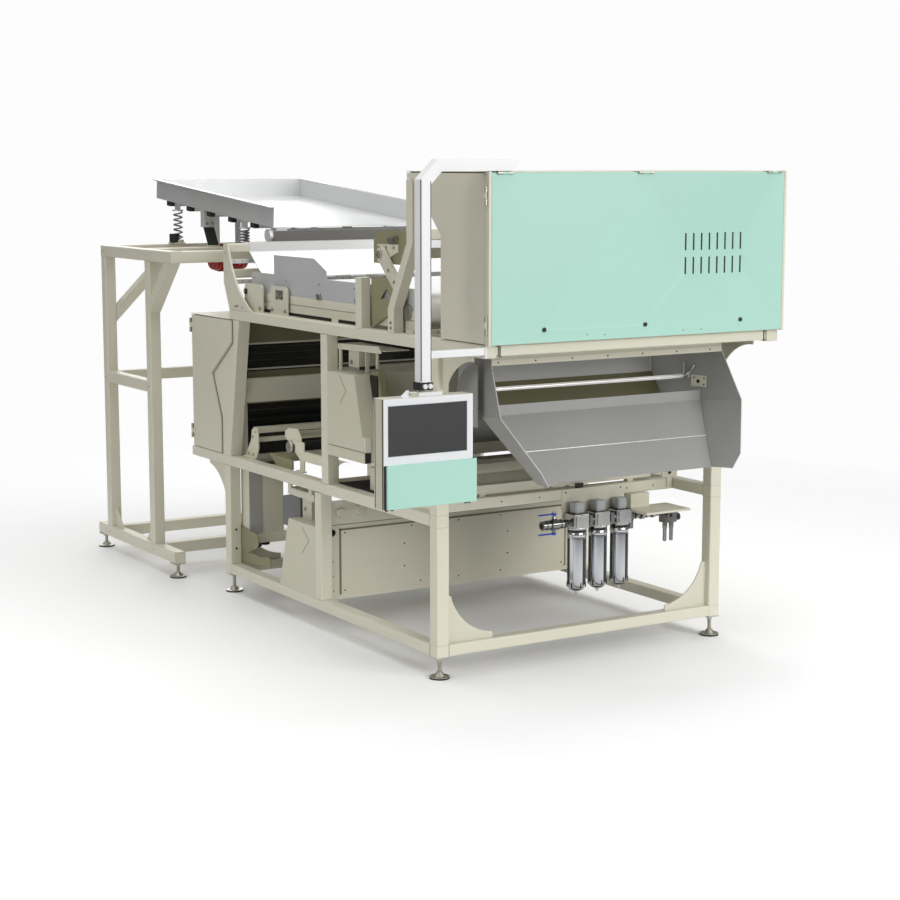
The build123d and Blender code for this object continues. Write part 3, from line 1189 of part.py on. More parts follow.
def hood_sides():
    """Cheeks with their wings, the bushes of the splitter bar and the rounded outer guards."""
    side = hood_side()
    front, middle, rear = SIDE_GUARD
    edge = Polyline(rear, (rear[0], SIDE_GUARD_LOW_Z), (front[0], SIDE_GUARD_LOW_Z), front)
    guard_face = make_face(edge + ThreePointArc(front, middle, rear))
    guard = extrude(Plane.YZ.offset(SIDE_GUARD_X) * guard_face, amount=HOOD_T, dir=(1, 0, 0))
    for y, z in SIDE_GUARD_PINS:
        guard += rod("x", (y, z), LEVER_R, SIDE_GUARD_X + HOOD_T, cheek_x(y) + HOOD_T / 2)
    bush = rod("x", (SPLITTER_Y, SPLITTER_Z), BUSH_R, *BUSH_X)
    bush -= rod("x", (SPLITTER_Y, SPLITTER_Z), SPLITTER_R + SPLITTER_FIT, BUSH_X[0] - 1, BUSH_X[1] + 1)
    return pair(side, guard - side, bush - side)


def hood_chute():
    """Sloping, once creased chute between the wings with an upright lip at its top."""
    (_, ya, za), (_, yb, zb), (_, yc, zc) = CHUTE_TOP, CHUTE_FOLD, CHUTE_FOOT
    t = HOOD_T
    low = t * math.sqrt(2)
    profile = ((ya, LIP_TOP_Z), (ya, za), (yb, zb), (yc, zc), (yc + t, zc - t / 2), (yb, zb - low),
               (ya, za - low), (ya + t, za - t), (ya + t, LIP_TOP_Z))
    chute = prism_x(profile, CHUTE_TOP[0] + t / 2, FRAME_W - CHUTE_TOP[0] - t / 2)
    reach = ((ya + TUBE, zc - TUBE), (yc - TUBE, zc - TUBE), (yc - TUBE, za + t), (ya + TUBE, za + t))
    beyond = facet([(wing_x(y, z), y, z) for y, z in reach], 4 * TUBE, (-1, 0, 0))
    side = hood_side()
    for cutter in (beyond, side):
        chute -= cutter
        chute -= other_side(cutter)
    return [chute]


def hood_back():
    """Screwed top strip with its hanger, and the back plate with the lugs that hold it."""
    side = hood_side()
    y = CHEEK_TOP[1]
    x0 = cheek_x(y) + COVER_T
    strip = block(x0, FRAME_W - x0, y, y + HOOD_T, STRIP_LOW_Z, HOOD_RIM_Z)
    strip += block(x0, FRAME_W - x0, y + HOOD_T, y + 2 * HOOD_T, STRIP_LOW_Z, CABINET_Z)
    back_x = cheek_x(HOOD_BACK_Y) + 1
    back = block(back_x, FRAME_W - back_x, HOOD_BACK_Y - HOOD_T, HOOD_BACK_Y, *HOOD_BACK_Z)
    for x in (back_x + TUBE, FRAME_W - back_x - 2 * TUBE):
        back += block(x, x + TUBE, HOOD_BACK_Y, EJECTOR_Y, EJECTOR_Z[0] + HOOD_T, HOOD_BACK_Z[1])
    return [strip - side - other_side(side), back - side - other_side(side)]


def splitter_bar():
    """Turning bar across the hood with its dividing blade and hand lever."""
    bar = rod("x", (SPLITTER_Y, SPLITTER_Z), SPLITTER_R, SPLITTER_X, FRAME_W - SPLITTER_X)
    x0 = BUSH_X[1] + HOOD_T
    edge = SPLITTER_Y + SPLITTER_R
    bar += block(x0, FRAME_W - x0 - 2 * BUSH_R, edge - 1, edge + BLADE_W, SPLITTER_Z - BLADE_T / 2,
                 SPLITTER_Z + BLADE_T / 2)
    lever_x = FRAME_W - x0 - BUSH_R
    return [bar + rod("z", (lever_x, SPLITTER_Y), LEVER_R, SPLITTER_Z, SPLITTER_Z + LEVER_L)]


def housing(points):
    """A sheet-metal box across the machine with the given (y, z) outline and its end lid."""
    body = Polygon(*points, align=None)
    inner = offset(body, amount=-SHEET, kind=Kind.INTERSECTION)
    long = FRAME_W - 2 * HOUSING_IN
    shell = extrude(Plane.YZ.offset(HOUSING_IN) * body, amount=long - SHEET)
    shell -= extrude(Plane.YZ.offset(HOUSING_IN + SHEET) * inner, amount=long)
    lid = extrude(Plane.YZ.offset(HOUSING_IN + long - SHEET) * body, amount=SHEET)
    return [shell, lid]


def camera_boxes():
    """Housings in the middle and lower level with end covers, lugs, sensor cubes and hanging rods."""
    x = HOUSING_IN
    lug = block(TUBE, x, *UPPER_LUG[0], *UPPER_LUG[1])
    slant = UPPER_HOUSING[:3]
    upper_end = prism_x((*slant, (MIDDLE_UPRIGHT_Y, slant[2][1]), (MIDDLE_UPRIGHT_Y, slant[0][1])), HOUSING_FLUSH, x)
    high = LOWER_HOUSING[0][1]
    sill = FOOT_RISE + RAIL_H
    face = LOWER_UPRIGHT_Y + TUBE
    lower_end = prism_x(((face, high), (face, sill), (LOWER_HOUSING[2][0], sill), LOWER_HOUSING[3]),
                        HOUSING_FLUSH, TUBE)
    lower_end += prism_x(LOWER_HOUSING, TUBE, x)
    top = CUBE_Z + CUBE
    cube = block(x, x + CUBE, CUBE_Y, CUBE_Y + CUBE, CUBE_Z, top)
    shelf = block(TUBE, SHELF_X, *SHELF_Y, top, top + SHEET)
    hang = rod("z", (x + CUBE / 2, HANG_ROD_Y), STEM_R, CUBE_Z, top)
    small = block(x, x + TUBE, SMALL_BOX_Y, SMALL_BOX_Y + CUBE, high, high + CUBE)
    return [*housing(UPPER_HOUSING), *housing(LOWER_HOUSING),
            *pair(lug, upper_end, lower_end, cube, shelf, hang, small)]


def ejector_bar():
    """Air bar under the belt end with its row of valves and the nozzle strip."""
    low, top = EJECTOR_Z
    bar = block(TUBE, FRAME_W - TUBE, EJECTOR_Y, DECK_CROSS_Y, low, top)
    wide, deep, high = VALVE_SIZE
    first = 2 * TUBE
    count = int((FRAME_W - 2 * first) / VALVE_PITCH)
    y0 = EJECTOR_Y + (DECK_CROSS_Y - EJECTOR_Y - deep) / 2
    valves = [block(first + i * VALVE_PITCH, first + i * VALVE_PITCH + wide, y0, y0 + deep, top, top + high)
              for i in range(count)]
    nozzles = block(first, FRAME_W - first, EJECTOR_Y - STEM_R, EJECTOR_Y, low + STEM_R / 2, low + 2 * STEM_R)
    nozzles -= block(first + TUBE, FRAME_W - first - TUBE, EJECTOR_Y - STEM_R - 1, EJECTOR_Y - STEM_R + COVER_T,
                     low + STEM_R, low + STEM_R + COVER_T)
    for x in (cheek_x(HOOD_BACK_Y) + 1 + TUBE, FRAME_W - cheek_x(HOOD_BACK_Y) - 1 - 2 * TUBE):
        nozzles -= block(x - 1, x + TUBE + 1, EJECTOR_Y - STEM_R - 1, EJECTOR_Y, low, top)
    return [bar, *valves, *[Compound([piece]) for piece in nozzles.solids()]]


def product_chutes():
    """Troughs and ducts below the sorting boxes."""
    y = PANEL_FRONT_Y
    x0 = TUBE
    rear = y + LOWER_PANEL_DEPTH
    top = LOWER_PANEL_Z[1]
    front = y - TROUGH_LEAN
    trough = prism_x(((front, TROUGH_Z), (y, top), (rear, top), (rear, top + SHEET), (y + SHEET, top + SHEET),
                      (front + SHEET, TROUGH_Z)), x0 + SHEET, FRAME_W - x0 - SHEET)
    end = prism_x(((rear, top), (y, top), (front, TROUGH_Z), (rear, TROUGH_Z)), x0, x0 + SHEET)
    ya, yb, yc = TRAY_TROUGH_Y
    high = TRAY_TROUGH_TOP
    base = MIDDLE_TOP
    mid = ((ya + yb) / 2 - 8, (high + base) / 2 - 14)
    outer = ThreePointArc((ya, high), mid, (yb, base))
    inner = ThreePointArc((yb, base + SHEET), (mid[0] + SHEET, mid[1] + SHEET / 2), (ya + SHEET, high))
    profile = make_face(outer + Line((yb, base), (yc, base)) + Line((yc, base), (yc, base + SHEET))
                        + Line((yc, base + SHEET), (yb, base + SHEET)) + inner + Line((ya + SHEET, high), (ya, high)))
    curved = extrude(Plane.YZ.offset(x0 + SHEET) * profile, amount=FRAME_W - 2 * x0 - 2 * SHEET, dir=(1, 0, 0))
    y0, y1 = DUCT_Y
    wall = SHEET
    duct = prism_x(((y0, MIDDLE_Z), (y1, MIDDLE_Z), (y1, DUCT_LOW_Z), (y1 - SPOUT_IN, SPOUT_Z), (y0 - 20, SPOUT_Z),
                    (y0, DUCT_LOW_Z)), *DUCT_X)
    duct -= prism_x(((y0 + wall, MIDDLE_Z + 1), (y1 - wall, MIDDLE_Z + 1), (y1 - wall, DUCT_LOW_Z),
                     (y1 - SPOUT_IN - wall, SPOUT_Z - 1), (y0 - 20 + wall, SPOUT_Z - 1), (y0 + wall, DUCT_LOW_Z)),
                    DUCT_X[0] + wall, DUCT_X[1] - wall)
    return [trough, curved, *pair(end, duct)]


def lower_panel():
    """Closed cross box between the lower uprights with its inset cover."""
    y0 = PANEL_FRONT_Y
    y1 = y0 + LOWER_PANEL_DEPTH
    z0, z1 = LOWER_PANEL_Z
    x1 = FRAME_W - TUBE
    panel = block(TUBE, x1, y0, y1, z0, z1)
    panel -= block(TUBE + SHEET, x1 - SHEET, y0 + SHEET, y1 + 1, z0 + SHEET, z1 - SHEET)
    panel -= rod("y", HOLE_AT, HOLE_R, y0 - 1, y0 + SHEET + 1)
    cover = block(PANEL_COVER_X, FRAME_W - PANEL_COVER_X, y0 - SHEET, y0, *PANEL_COVER_Z)
    return [panel, cover]


def beam_plates():
    """Plates on the front beam: a drilled tee, the filter plate, a block and its shelf."""
    y = FRONT_BEAM_Y
    low, mid, top = TEE_Z
    tee = block(*TEE_STEM_X, y - PLATE_T, y, low, mid) + block(*TEE_HEAD_X, y - PLATE_T, y, mid, top)
    tee -= rod("y", TEE_HOLE, TEE_HOLE_R, y - PLATE_T - 1, y + 1)
    plate = block(*FILTER_PLATE_X, y - PLATE_T, y, *FILTER_PLATE_Z)
    shelf = block(*AIR_SHELF_X, *AIR_SHELF_Y, *AIR_SHELF_Z)
    hold = block(*AIR_BLOCK_X, y - 2 * NUT_R, y + 2 * NUT_R, AIR_SHELF_Z[1], MIDDLE_Z)
    return [tee, plate, shelf, hold]


def filter_heads():
    """Ported heads of the three filters with their caps, and the joints between them."""
    half = HEAD_W / 2
    y = FILTER_Y
    low, top, cap_top = HEAD_Z
    cap = half * CAP_SHARE
    heads = [block(x - half, x + half, y - half, y + half, low, top)
             + block(x - cap, x + cap, y - cap, y + cap, top, cap_top) for x in FILTER_X]
    joints = [rod("x", (y, PIPE_Z), JOINT_R, a + half, b - half) for a, b in zip(FILTER_X, FILTER_X[1:])]
    return heads + joints


def filter_bowls():
    """Metal bowls with rounded lower ends and drain nipples."""
    bowls = []
    for x in FILTER_X:
        bowl = rod("z", (x, FILTER_Y), BOWL_R, BOWL_LOW, HEAD_Z[0])
        bowl = fillet(bowl.edges().group_by(Axis.Z)[0], BOWL_ROUND)
        bowls.append(bowl + rod("z", (x, FILTER_Y), NIPPLE_R, BOWL_LOW - NIPPLE_L, BOWL_LOW))
    return bowls


def air_pipes():
    """Inlet valve body, pipe joints, outlet block and the two hanging outlets."""
    centre = (FILTER_Y, PIPE_Z)
    x0, x1 = VALVE_X
    half = HEAD_W / 2
    stem_x, stem_r = VALVE_STEM
    inlet = rod("x", centre, VALVE_R, x0, x1) + rod("x", centre, PIPE_R, x1, FILTER_X[0] - half)
    inlet -= rod("x", centre, PIPE_R, x0 - 1, x0 + TUBE / 2)
    reach = HUB_H / 2 + COVER_T
    inlet += rod("z", (stem_x, FILTER_Y), stem_r, PIPE_Z, LEVER_Z[0] + reach)
    inlet += rod("z", (stem_x, FILTER_Y), stem_r, LEVER_Z[1] - reach, PIPE_Z)
    start = FILTER_X[-1] + half
    end = OUTLET_X[0]
    outlet = rod("x", centre, PIPE_R, start, end)
    for x in (start + JOINT_R, end - 2 * JOINT_R):
        outlet += rod("x", centre, JOINT_R, x, x + JOINT_R)
    outlet += block(*OUTLET_X, FILTER_Y - OUTLET_W / 2, FILTER_Y + OUTLET_W / 2, *OUTLET_Z)
    outlet += block(OUTLET_X[0] + NUT_R, OUTLET_X[1] - NUT_R, FILTER_Y - NUT_R, FILTER_Y + NUT_R, OUTLET_Z[1],
                    AIR_SHELF_Z[0])
    for x in DROP_PIPE_X:
        outlet += rod("z", (x, FILTER_Y), DROP_PIPE_R, DROP_PIPE_Z, OUTLET_Z[0])
    stem, depth = KNOB_STEM
    outlet -= rod("x", (FILTER_Y, KNOB_Z), stem + KNOB_FIT, OUTLET_X[1] - depth, OUTLET_X[1] + 1)
    return [inlet, outlet]


def lever(z):
    """A flat hand lever with its hub on the valve stem."""
    x, radius = VALVE_STEM
    hub = rod("z", (x, FILTER_Y), HUB_R, z - HUB_H / 2, z + HUB_H / 2)
    bar = block(x - LEVER_OUT, x, FILTER_Y - HUB_H, FILTER_Y + HUB_H, z - LEVER_T / 2, z + LEVER_T / 2)
    return [hub + bar - rod("z", (x, FILTER_Y), radius + LEVER_FIT, z - HUB_H, z + HUB_H)]


def upper_lever():
    return lever(LEVER_Z[0])


def lower_lever():
    return lever(LEVER_Z[1])


def regulator_knob():
    stem, depth = KNOB_STEM
    knob = rod("x", (FILTER_Y, KNOB_Z), KNOB_R, *KNOB_X)
    return [knob + rod("x", (FILTER_Y, KNOB_Z), stem, OUTLET_X[1] - depth + 1, KNOB_X[0])]


PARTS = {
    "front_posts": front_posts,
    "rear_posts": rear_posts,
    "bottom_rails": bottom_rails,
    "middle_rails": middle_rails,
    "upper_rails": upper_rails,
    "uprights": uprights,
    "frame_gussets": frame_gussets,
    "levelling_feet": levelling_feet,
    "conveyor_sides": conveyor_sides,
    "roller_axles": roller_axles,
    "drive_roller": lambda: roller(BELT_FRONT_Y),
    "tail_roller": lambda: roller(BELT_REAR_Y),
    "conveyor_belt": conveyor_belt,
    "belt_bed": belt_bed,
    "inlet_guards": inlet_guards,
    "stand_posts": stand_posts,
    "stand_base": stand_base,
    "stand_rails": stand_rails,
    "tray_pan": tray_pan,
    "tray_ribs": tray_ribs,
    "rib_blocks": rib_blocks,
    "spring_seats": spring_seats,
    "coil_springs": coil_springs,
    "leaf_springs": leaf_springs,
    "vibrator_motors": vibrator_motors,
    "lip_tube": lip_tube,
    "tray_flap": tray_flap,
    "gantry": gantry,
    "drop_plate": drop_plate,
    "left_rear_door": left_rear_door,
    "right_rear_door": right_rear_door,
    "rear_box": rear_box,
    "view_windows": view_windows,
    "hinge_pins": hinge_pins,
    "cabinet_shell": cabinet_shell,
    "front_cover": front_cover,
    "cover_locks": cover_locks,
    "left_cabinet_door": left_cabinet_door,
    "right_cabinet_door": right_cabinet_door,
    "cabinet_struts": cabinet_struts,
    "pendant_arm": pendant_arm,
    "panel_case": panel_case,
    "panel_bezel": panel_bezel,
    "panel_screen": panel_screen,
    "panel_lower_box": panel_lower_box,
    "hood_sides": hood_sides,
    "hood_chute": hood_chute,
    "hood_back": hood_back,
    "splitter_bar": splitter_bar,
    "camera_boxes": camera_boxes,
    "ejector_bar": ejector_bar,
    "product_chutes": product_chutes,
    "lower_panel": lower_panel,
    "filter_heads": filter_heads,
    "filter_bowls": filter_bowls,
    "air_pipes": air_pipes,
    "upper_lever": upper_lever,
    "lower_lever": lower_lever,
    "regulator_knob": regulator_knob,
}

# Nodes that reach furthest across and along the machine, for its centred origin
OUTER_NODES = ("levelling_feet", "stand_posts", "panel_lower_box", "panel_case", "pendant_arm",
               "front_cover", "cover_locks", "hood_sides", "tray_pan", "stand_base")

built = {name: make() for name, make in PARTS.items()}
boxes = [solid.bounding_box() for name in OUTER_NODES for solid in built[name]]
middle_x = (min(b.min.X for b in boxes) + max(b.max.X for b in boxes)) / 2
middle_y = (min(b.min.Y for b in boxes) + max(b.max.Y for b in boxes)) / 2
print("machine origin moved by", -middle_x, -middle_y)
for name, solids in built.items():
    node = Compound(children=[Pos(-middle_x, -middle_y, 0) * solid for solid in solids])
    export_step(node, f"parts/{name}.step")
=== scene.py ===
import math

import bmesh
import bpy
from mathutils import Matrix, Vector


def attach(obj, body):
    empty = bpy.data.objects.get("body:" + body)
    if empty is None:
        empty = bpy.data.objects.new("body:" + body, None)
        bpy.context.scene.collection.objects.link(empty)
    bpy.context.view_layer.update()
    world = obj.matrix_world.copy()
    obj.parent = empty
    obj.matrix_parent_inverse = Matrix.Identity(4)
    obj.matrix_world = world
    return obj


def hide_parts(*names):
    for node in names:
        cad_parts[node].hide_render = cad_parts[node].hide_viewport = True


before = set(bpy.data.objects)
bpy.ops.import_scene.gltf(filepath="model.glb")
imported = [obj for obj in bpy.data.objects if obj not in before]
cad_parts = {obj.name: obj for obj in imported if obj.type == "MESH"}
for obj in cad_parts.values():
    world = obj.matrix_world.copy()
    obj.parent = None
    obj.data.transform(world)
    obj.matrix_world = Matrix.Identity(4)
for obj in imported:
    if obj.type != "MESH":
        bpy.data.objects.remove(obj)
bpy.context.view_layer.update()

# Main frame
# Posts, rails and uprights of 60 mm square steel tube, cut square and welded, with thin corner
# plates let into the corners. All of it is powder coated in one satin cream. Welded caps close
# the open tube ends.

FRAME_W = 1500
FRAME_ORIGIN = Vector((568.5, 1544.7411561165154, 0))
CAP_T = 3
SHARP = math.radians(32)


def at(x, y, z):
    """Millimetres from the frame's front left corner, as a point of the scene."""
    return (Vector((x, y, z)) - FRAME_ORIGIN) / 1000


def linear(red, green, blue):
    """A colour seen as 0 to 255, turned into the numbers a shader takes."""
    shares = [v / 255 for v in (red, green, blue)]
    return [v / 12.92 if v <= 0.04045 else ((v + 0.055) / 1.055) ** 2.4 for v in shares] + [1]


class Value:
    """A shader socket that can stand in a Python sum."""

    def __init__(self, finish, socket):
        self.finish = finish
        self.socket = socket

    def _math(self, operation, *inputs):
        return self.finish.node("ShaderNodeMath", {"operation": operation}, dict(enumerate(inputs)))

    def __add__(self, other):
        return self._math("ADD", self, other)

    def __sub__(self, other):
        return self._math("SUBTRACT", self, other)

    def __rsub__(self, other):
        return self._math("SUBTRACT", other, self)

    def __mul__(self, other):
        return self._math("MULTIPLY", self, other)

    def __truediv__(self, other):
        return self._math("DIVIDE", self, other)

    def clamped(self):
        return self.finish.node("ShaderNodeMath", {"operation": "MULTIPLY", "use_clamp": True},
                                {0: self, 1: 1})

    __radd__ = __add__
    __rmul__ = __mul__


class Finish:
    """A surface on one Principled shader: plain numbers sit on its sockets, patterns are linked."""

    def __init__(self, name, color, **constants):
        self.material = bpy.data.materials.new(name)
        self.material.use_nodes = True
        self.tree = self.material.node_tree
        self.shader = self.tree.nodes["Principled BSDF"]
        self.color = color
        self.shader.inputs["Base Color"].default_value = color
        for socket, value in constants.items():
            self.shader.inputs[socket.replace("_", " ")].default_value = value

    def node(self, kind, settings=None, inputs=None, output=0):
        made = self.tree.nodes.new(kind)
        for key, value in (settings or {}).items():
            setattr(made, key, value)
        for key, value in (inputs or {}).items():
            self.join(made.inputs[key], value)
        return Value(self, made.outputs[output])

    def join(self, socket, value):
        if isinstance(value, Value):
            self.tree.links.new(value.socket, socket)
        else:
            socket.default_value = value

    def __setitem__(self, socket, value):
        self.join(self.shader.inputs[socket], value)

    def place(self, stretch=(1, 1, 1)):
        where = self.node("ShaderNodeTexCoord", output="Object")
        if tuple(stretch) == (1, 1, 1):
            return where
        return self.node("ShaderNodeVectorMath", {"operation": "MULTIPLY"}, {0: where, 1: stretch})

    def noise(self, scale, detail=3, stretch=(1, 1, 1)):
        """Soft cloud from 0 to 1, scale in clouds per metre."""
        return self.node("ShaderNodeTexNoise", None,
                         {"Vector": self.place(stretch), "Scale": scale, "Detail": detail})

    def mixed(self, share, first, second):
        return self.node("ShaderNodeMix", {"data_type": "RGBA"}, {0: share, 6: first, 7: second}, 2)

    def shade(self, amount):
        """The base colour made darker by a share."""
        return [min(1, c * (1 - amount)) for c in self.color[:3]] + [1]

    def bump(self, height, strength, depth_mm):
        return self.node("ShaderNodeBump", None,
                         {"Strength": strength, "Distance": depth_mm / 1000, "Height": height})

    def corners(self):
        """How exposed a spot is, from the rounding of the surface: 1 on edges that stand out."""
        point = self.node("ShaderNodeNewGeometry", output="Pointiness")
        return ((point - 0.53) * 9).clamped()


def painted(name, color, rough=0.42, cloud=0.07, peel=0.18):
    """Powder coat: faint clouds, handling marks, painted highlights along the thin edges, and orange
    peel.
    """
    coat = Finish(name, color, Roughness=rough, Specular_IOR_Level=0.42)
    drift = coat.noise(1.7, 4) * 0.6 + coat.noise(11, 3) * 0.4
    handled = ((coat.noise(4.5, 6) - 0.52) * 5).clamped()
    base = coat.mixed(drift, coat.shade(-cloud / 2), coat.shade(cloud / 2))
    marked = coat.mixed(handled * 0.35, base, coat.shade(cloud * 1.3))
    # Edges that stand out are lightened: a painted highlight on every edge.
    coat["Base Color"] = coat.mixed(coat.corners() * 0.5, marked, coat.shade(-0.22))
    coat["Roughness"] = coat.noise(26, 4) * 0.12 + (rough - 0.06)
    coat["Normal"] = coat.bump(coat.noise(850, 2), peel, 0.12)
    return coat


def dress(finish, *nodes):
    for node in nodes:
        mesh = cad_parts[node].data
        mesh.materials.clear()
        mesh.materials.append(finish.material)


def spread(axis, a, b, along):
    """A point from its place along an axis and its two places across it."""
    return {"x": (along, a, b), "y": (a, along, b), "z": (a, b, along)}[axis]


class Piece:
    """One mesh gathered from simple bits given in the frame's millimetres."""

    def __init__(self, both_sides=False):
        self.mesh = bmesh.new()
        self.both_sides = both_sides

    def bit(self, points, faces):
        """One closed bit, and its twin on the right where the piece is on both sides."""
        for flip in (False, True)[:1 + self.both_sides]:
            spots = [self.mesh.verts.new(at(FRAME_W - x if flip else x, y, z)) for x, y, z in points]
            for face in faces:
                self.mesh.faces.new([spots[i] for i in face])

    def slab(self, axis, outline, low, high):
        """A flat outline in the other two directions, stretched along an axis."""
        n = len(outline)
        points = [spread(axis, a, b, end) for end in (low, high) for a, b in outline]
        walls = [(i, (i + 1) % n, (i + 1) % n + n, i + n) for i in range(n)]
        self.bit(points, [tuple(range(n))[::-1], tuple(range(n, 2 * n)), *walls])

    def block(self, x0, x1, y0, y1, z0, z1):
        self.slab("z", ((x0, y0), (x1, y0), (x1, y1), (x0, y1)), z0, z1)

    def turned(self, axis, centre, profile, steps=24):
        """A round bit from its profile: pairs of place along the axis and radius."""
        turns = [i * math.tau / steps for i in range(steps)]
        points = [spread(axis, centre[0] + r * math.cos(t), centre[1] + r * math.sin(t), place)
                  for place, r in profile for t in turns]
        rings = len(profile)
        walls = [(k * steps + i, k * steps + (i + 1) % steps, (k + 1) * steps + (i + 1) % steps,
                  (k + 1) * steps + i) for k in range(rings - 1) for i in range(steps)]
        ends = [tuple(range(steps))[::-1], tuple(range((rings - 1) * steps, rings * steps))]
        self.bit(points, ends + walls)

    def hexagon(self, axis, centre, radius, low, high):
        spots = [(centre[0] + radius * math.cos(t), centre[1] + radius * math.sin(t))
                 for t in (i * math.tau / 6 for i in range(6))]
        self.slab(axis, spots, low, high)

    def button(self, axis, centre, face, out, radius=5):
        """A round screw head that stands on a face and points along the axis, out may be negative."""
        self.turned(axis, centre, ((face, radius), (face + out * 0.6, radius * 0.94),
                                   (face + out, radius * 0.6)), 12)

    def bolt(self, axis, centre, face, out, radius=7):
        """A hexagon head on its washer."""
        low, high = sorted((face, face + out * 0.25))
        self.turned(axis, centre, ((low, radius * 1.35), (high, radius * 1.35)), 16)
        self.hexagon(axis, centre, radius, *sorted((face + out * 0.25, face + out)))

    def strip(self, axis, line, wide, low, high):
        """A band of even width that follows a bent line across the axis."""
        for (a0, b0), (a1, b1) in zip(line, line[1:]):
            length = math.hypot(a1 - a0, b1 - b0)
            da, db = (b0 - b1) / length * wide / 2, (a1 - a0) / length * wide / 2
            ea, eb = (a1 - a0) / length * wide / 4, (b1 - b0) / length * wide / 4
            self.slab(axis, ((a0 + da - ea, b0 + db - eb), (a1 + da + ea, b1 + db + eb),
                             (a1 - da + ea, b1 - db + eb), (a0 - da - ea, b0 - db - eb)), low, high)

    def pipe(self, points, radius, steps=12):
        """A round bar along a line of points."""
        line = [Vector(p) for p in points]
        runs = [(b - a).normalized() for a, b in zip(line, line[1:])]
        heads = [runs[0], *[(a + b).normalized() for a, b in zip(runs, runs[1:])], runs[-1]]
        side = heads[0].orthogonal().normalized()
        rings = []
        for spot, head in zip(line, heads):
            side = (side - head * side.dot(head)).normalized()
            over = head.cross(side)
            rings += [tuple(spot + (side * math.cos(t) + over * math.sin(t)) * radius)
                      for t in (i * math.tau / steps for i in range(steps))]
        walls = [(k * steps + i, k * steps + (i + 1) % steps, (k + 1) * steps + (i + 1) % steps,
                  (k + 1) * steps + i) for k in range(len(line) - 1) for i in range(steps)]
        last = (len(line) - 1) * steps
        self.bit(rings, [tuple(range(steps))[::-1], tuple(range(last, last + steps)), *walls])

    def done(self, name, finish, body="frame", stands_for=(), edge=0):
        """Rounds the sharp edges, makes the object and hands it to its body."""
        bmesh.ops.recalc_face_normals(self.mesh, faces=self.mesh.faces[:])
        if edge:
            sharp = [e for e in self.mesh.edges if len(e.link_faces) == 2 and e.calc_face_angle() > SHARP]
            bmesh.ops.bevel(self.mesh, geom=sharp, offset=edge / 1000, segments=2, affect="EDGES",
                            clamp_overlap=True)
        data = bpy.data.meshes.new(name)
        self.mesh.to_mesh(data)
        self.mesh.free()
        data.materials.append(finish.material)
        data.polygons.foreach_set("use_smooth", [True] * len(data.polygons))
        data.set_sharp_from_angle(angle=SHARP)
        shown = bpy.data.objects.new(name, data)
        bpy.context.scene.collection.objects.link(shown)
        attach(shown, body)
        if stands_for:
            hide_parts(*stands_for)
        return shown


cream = painted("cream_powder_coat", linear(200, 197, 180))
# Blackened steel for screw heads; the same dark finish also paints the shade in the rear vents, the gap
# round the rear panel and the holder holes.
dark_steel_and_shade = Finish("blackened_screws_and_painted_shade", linear(44, 43, 40), Metallic=0.6, Roughness=0.45)
dark_steel_and_shade["Roughness"] = dark_steel_and_shade.noise(300) * 0.3 + 0.3
dress(cream, "front_posts", "rear_posts", "bottom_rails", "middle_rails", "upper_rails", "uprights",
      "frame_gussets")

caps = Piece(both_sides=True)
for y in (-350, 1943 - CAP_T):
    caps.block(2.5, 57.5, y, y + CAP_T, 1372.5, 1417.5)
caps.block(2.5, 57.5, 2410 - CAP_T, 2410, 644.5, 689.5)
for y in (2423, 3463 - CAP_T):
    caps.block(-102.5, -47.5, y, y + CAP_T, 79.5, 134.5)
for y in (2400, 3335 - CAP_T):
    caps.block(-102.5, -47.5, y, y + CAP_T, 1626.5, 1681.5)
caps.block(2.5, 47.5, 630.5, 677.5, 1638 - CAP_T, 1638)
caps.done("tube_end_caps", cream)

joint_seams = Piece(both_sides=True)
TUBE, SEAM = 60, 0.2
for z in (1369, 692, 641, 143.5):
    joint_seams.block(-SEAM, TUBE + SEAM, -SEAM, TUBE + SEAM, z, z + 1.2)
for y0, y1 in ((59.6, 60.8), (1969.4, 1970.4)):
    joint_seams.block(-SEAM, TUBE + SEAM, y0, y1, 94, 144)
for y, z in ((945, 692), (945, 1369), (1015, 144), (1015, 641)):
    joint_seams.block(-SEAM, TUBE + SEAM, y - SEAM, y + TUBE + SEAM, z, z + 1)
# Slightly darker cream for the dark weld joints; the same colour paints the shade in the beam folds.
joint_line_and_fold_shade = painted("joint_lines_and_fold_shade", linear(158, 154, 134), 0.5)
joint_seams.done("weld_joint_lines", joint_line_and_fold_shade)

# Levelling feet
# Eight machine feet on threaded stems, turned from steel and zinc plated, each with a lock nut
# against the plate under its post and a rubber ring round its pad.


def metal(name, color, rough, grain=(1, 1, 1), grain_scale=220, depth=0.05, metallic=1):
    """Bare metal: fine grain drawn out along the rolling or turning direction, faint smears."""
    bare = Finish(name, color, Metallic=metallic, Roughness=rough)
    lines = bare.noise(grain_scale, 2, grain)
    smear = bare.noise(3.2, 5)
    bare["Base Color"] = bare.mixed(lines * 0.5 + smear * 0.5, bare.shade(0.16), bare.shade(-0.06))
    bare["Roughness"] = lines * 0.14 + smear * 0.16 + (rough - 0.15)
    bare["Normal"] = bare.bump(lines, 0.25, depth)
    return bare


zinc = metal("zinc_plate", linear(190, 188, 176), 0.36, depth=0.03)
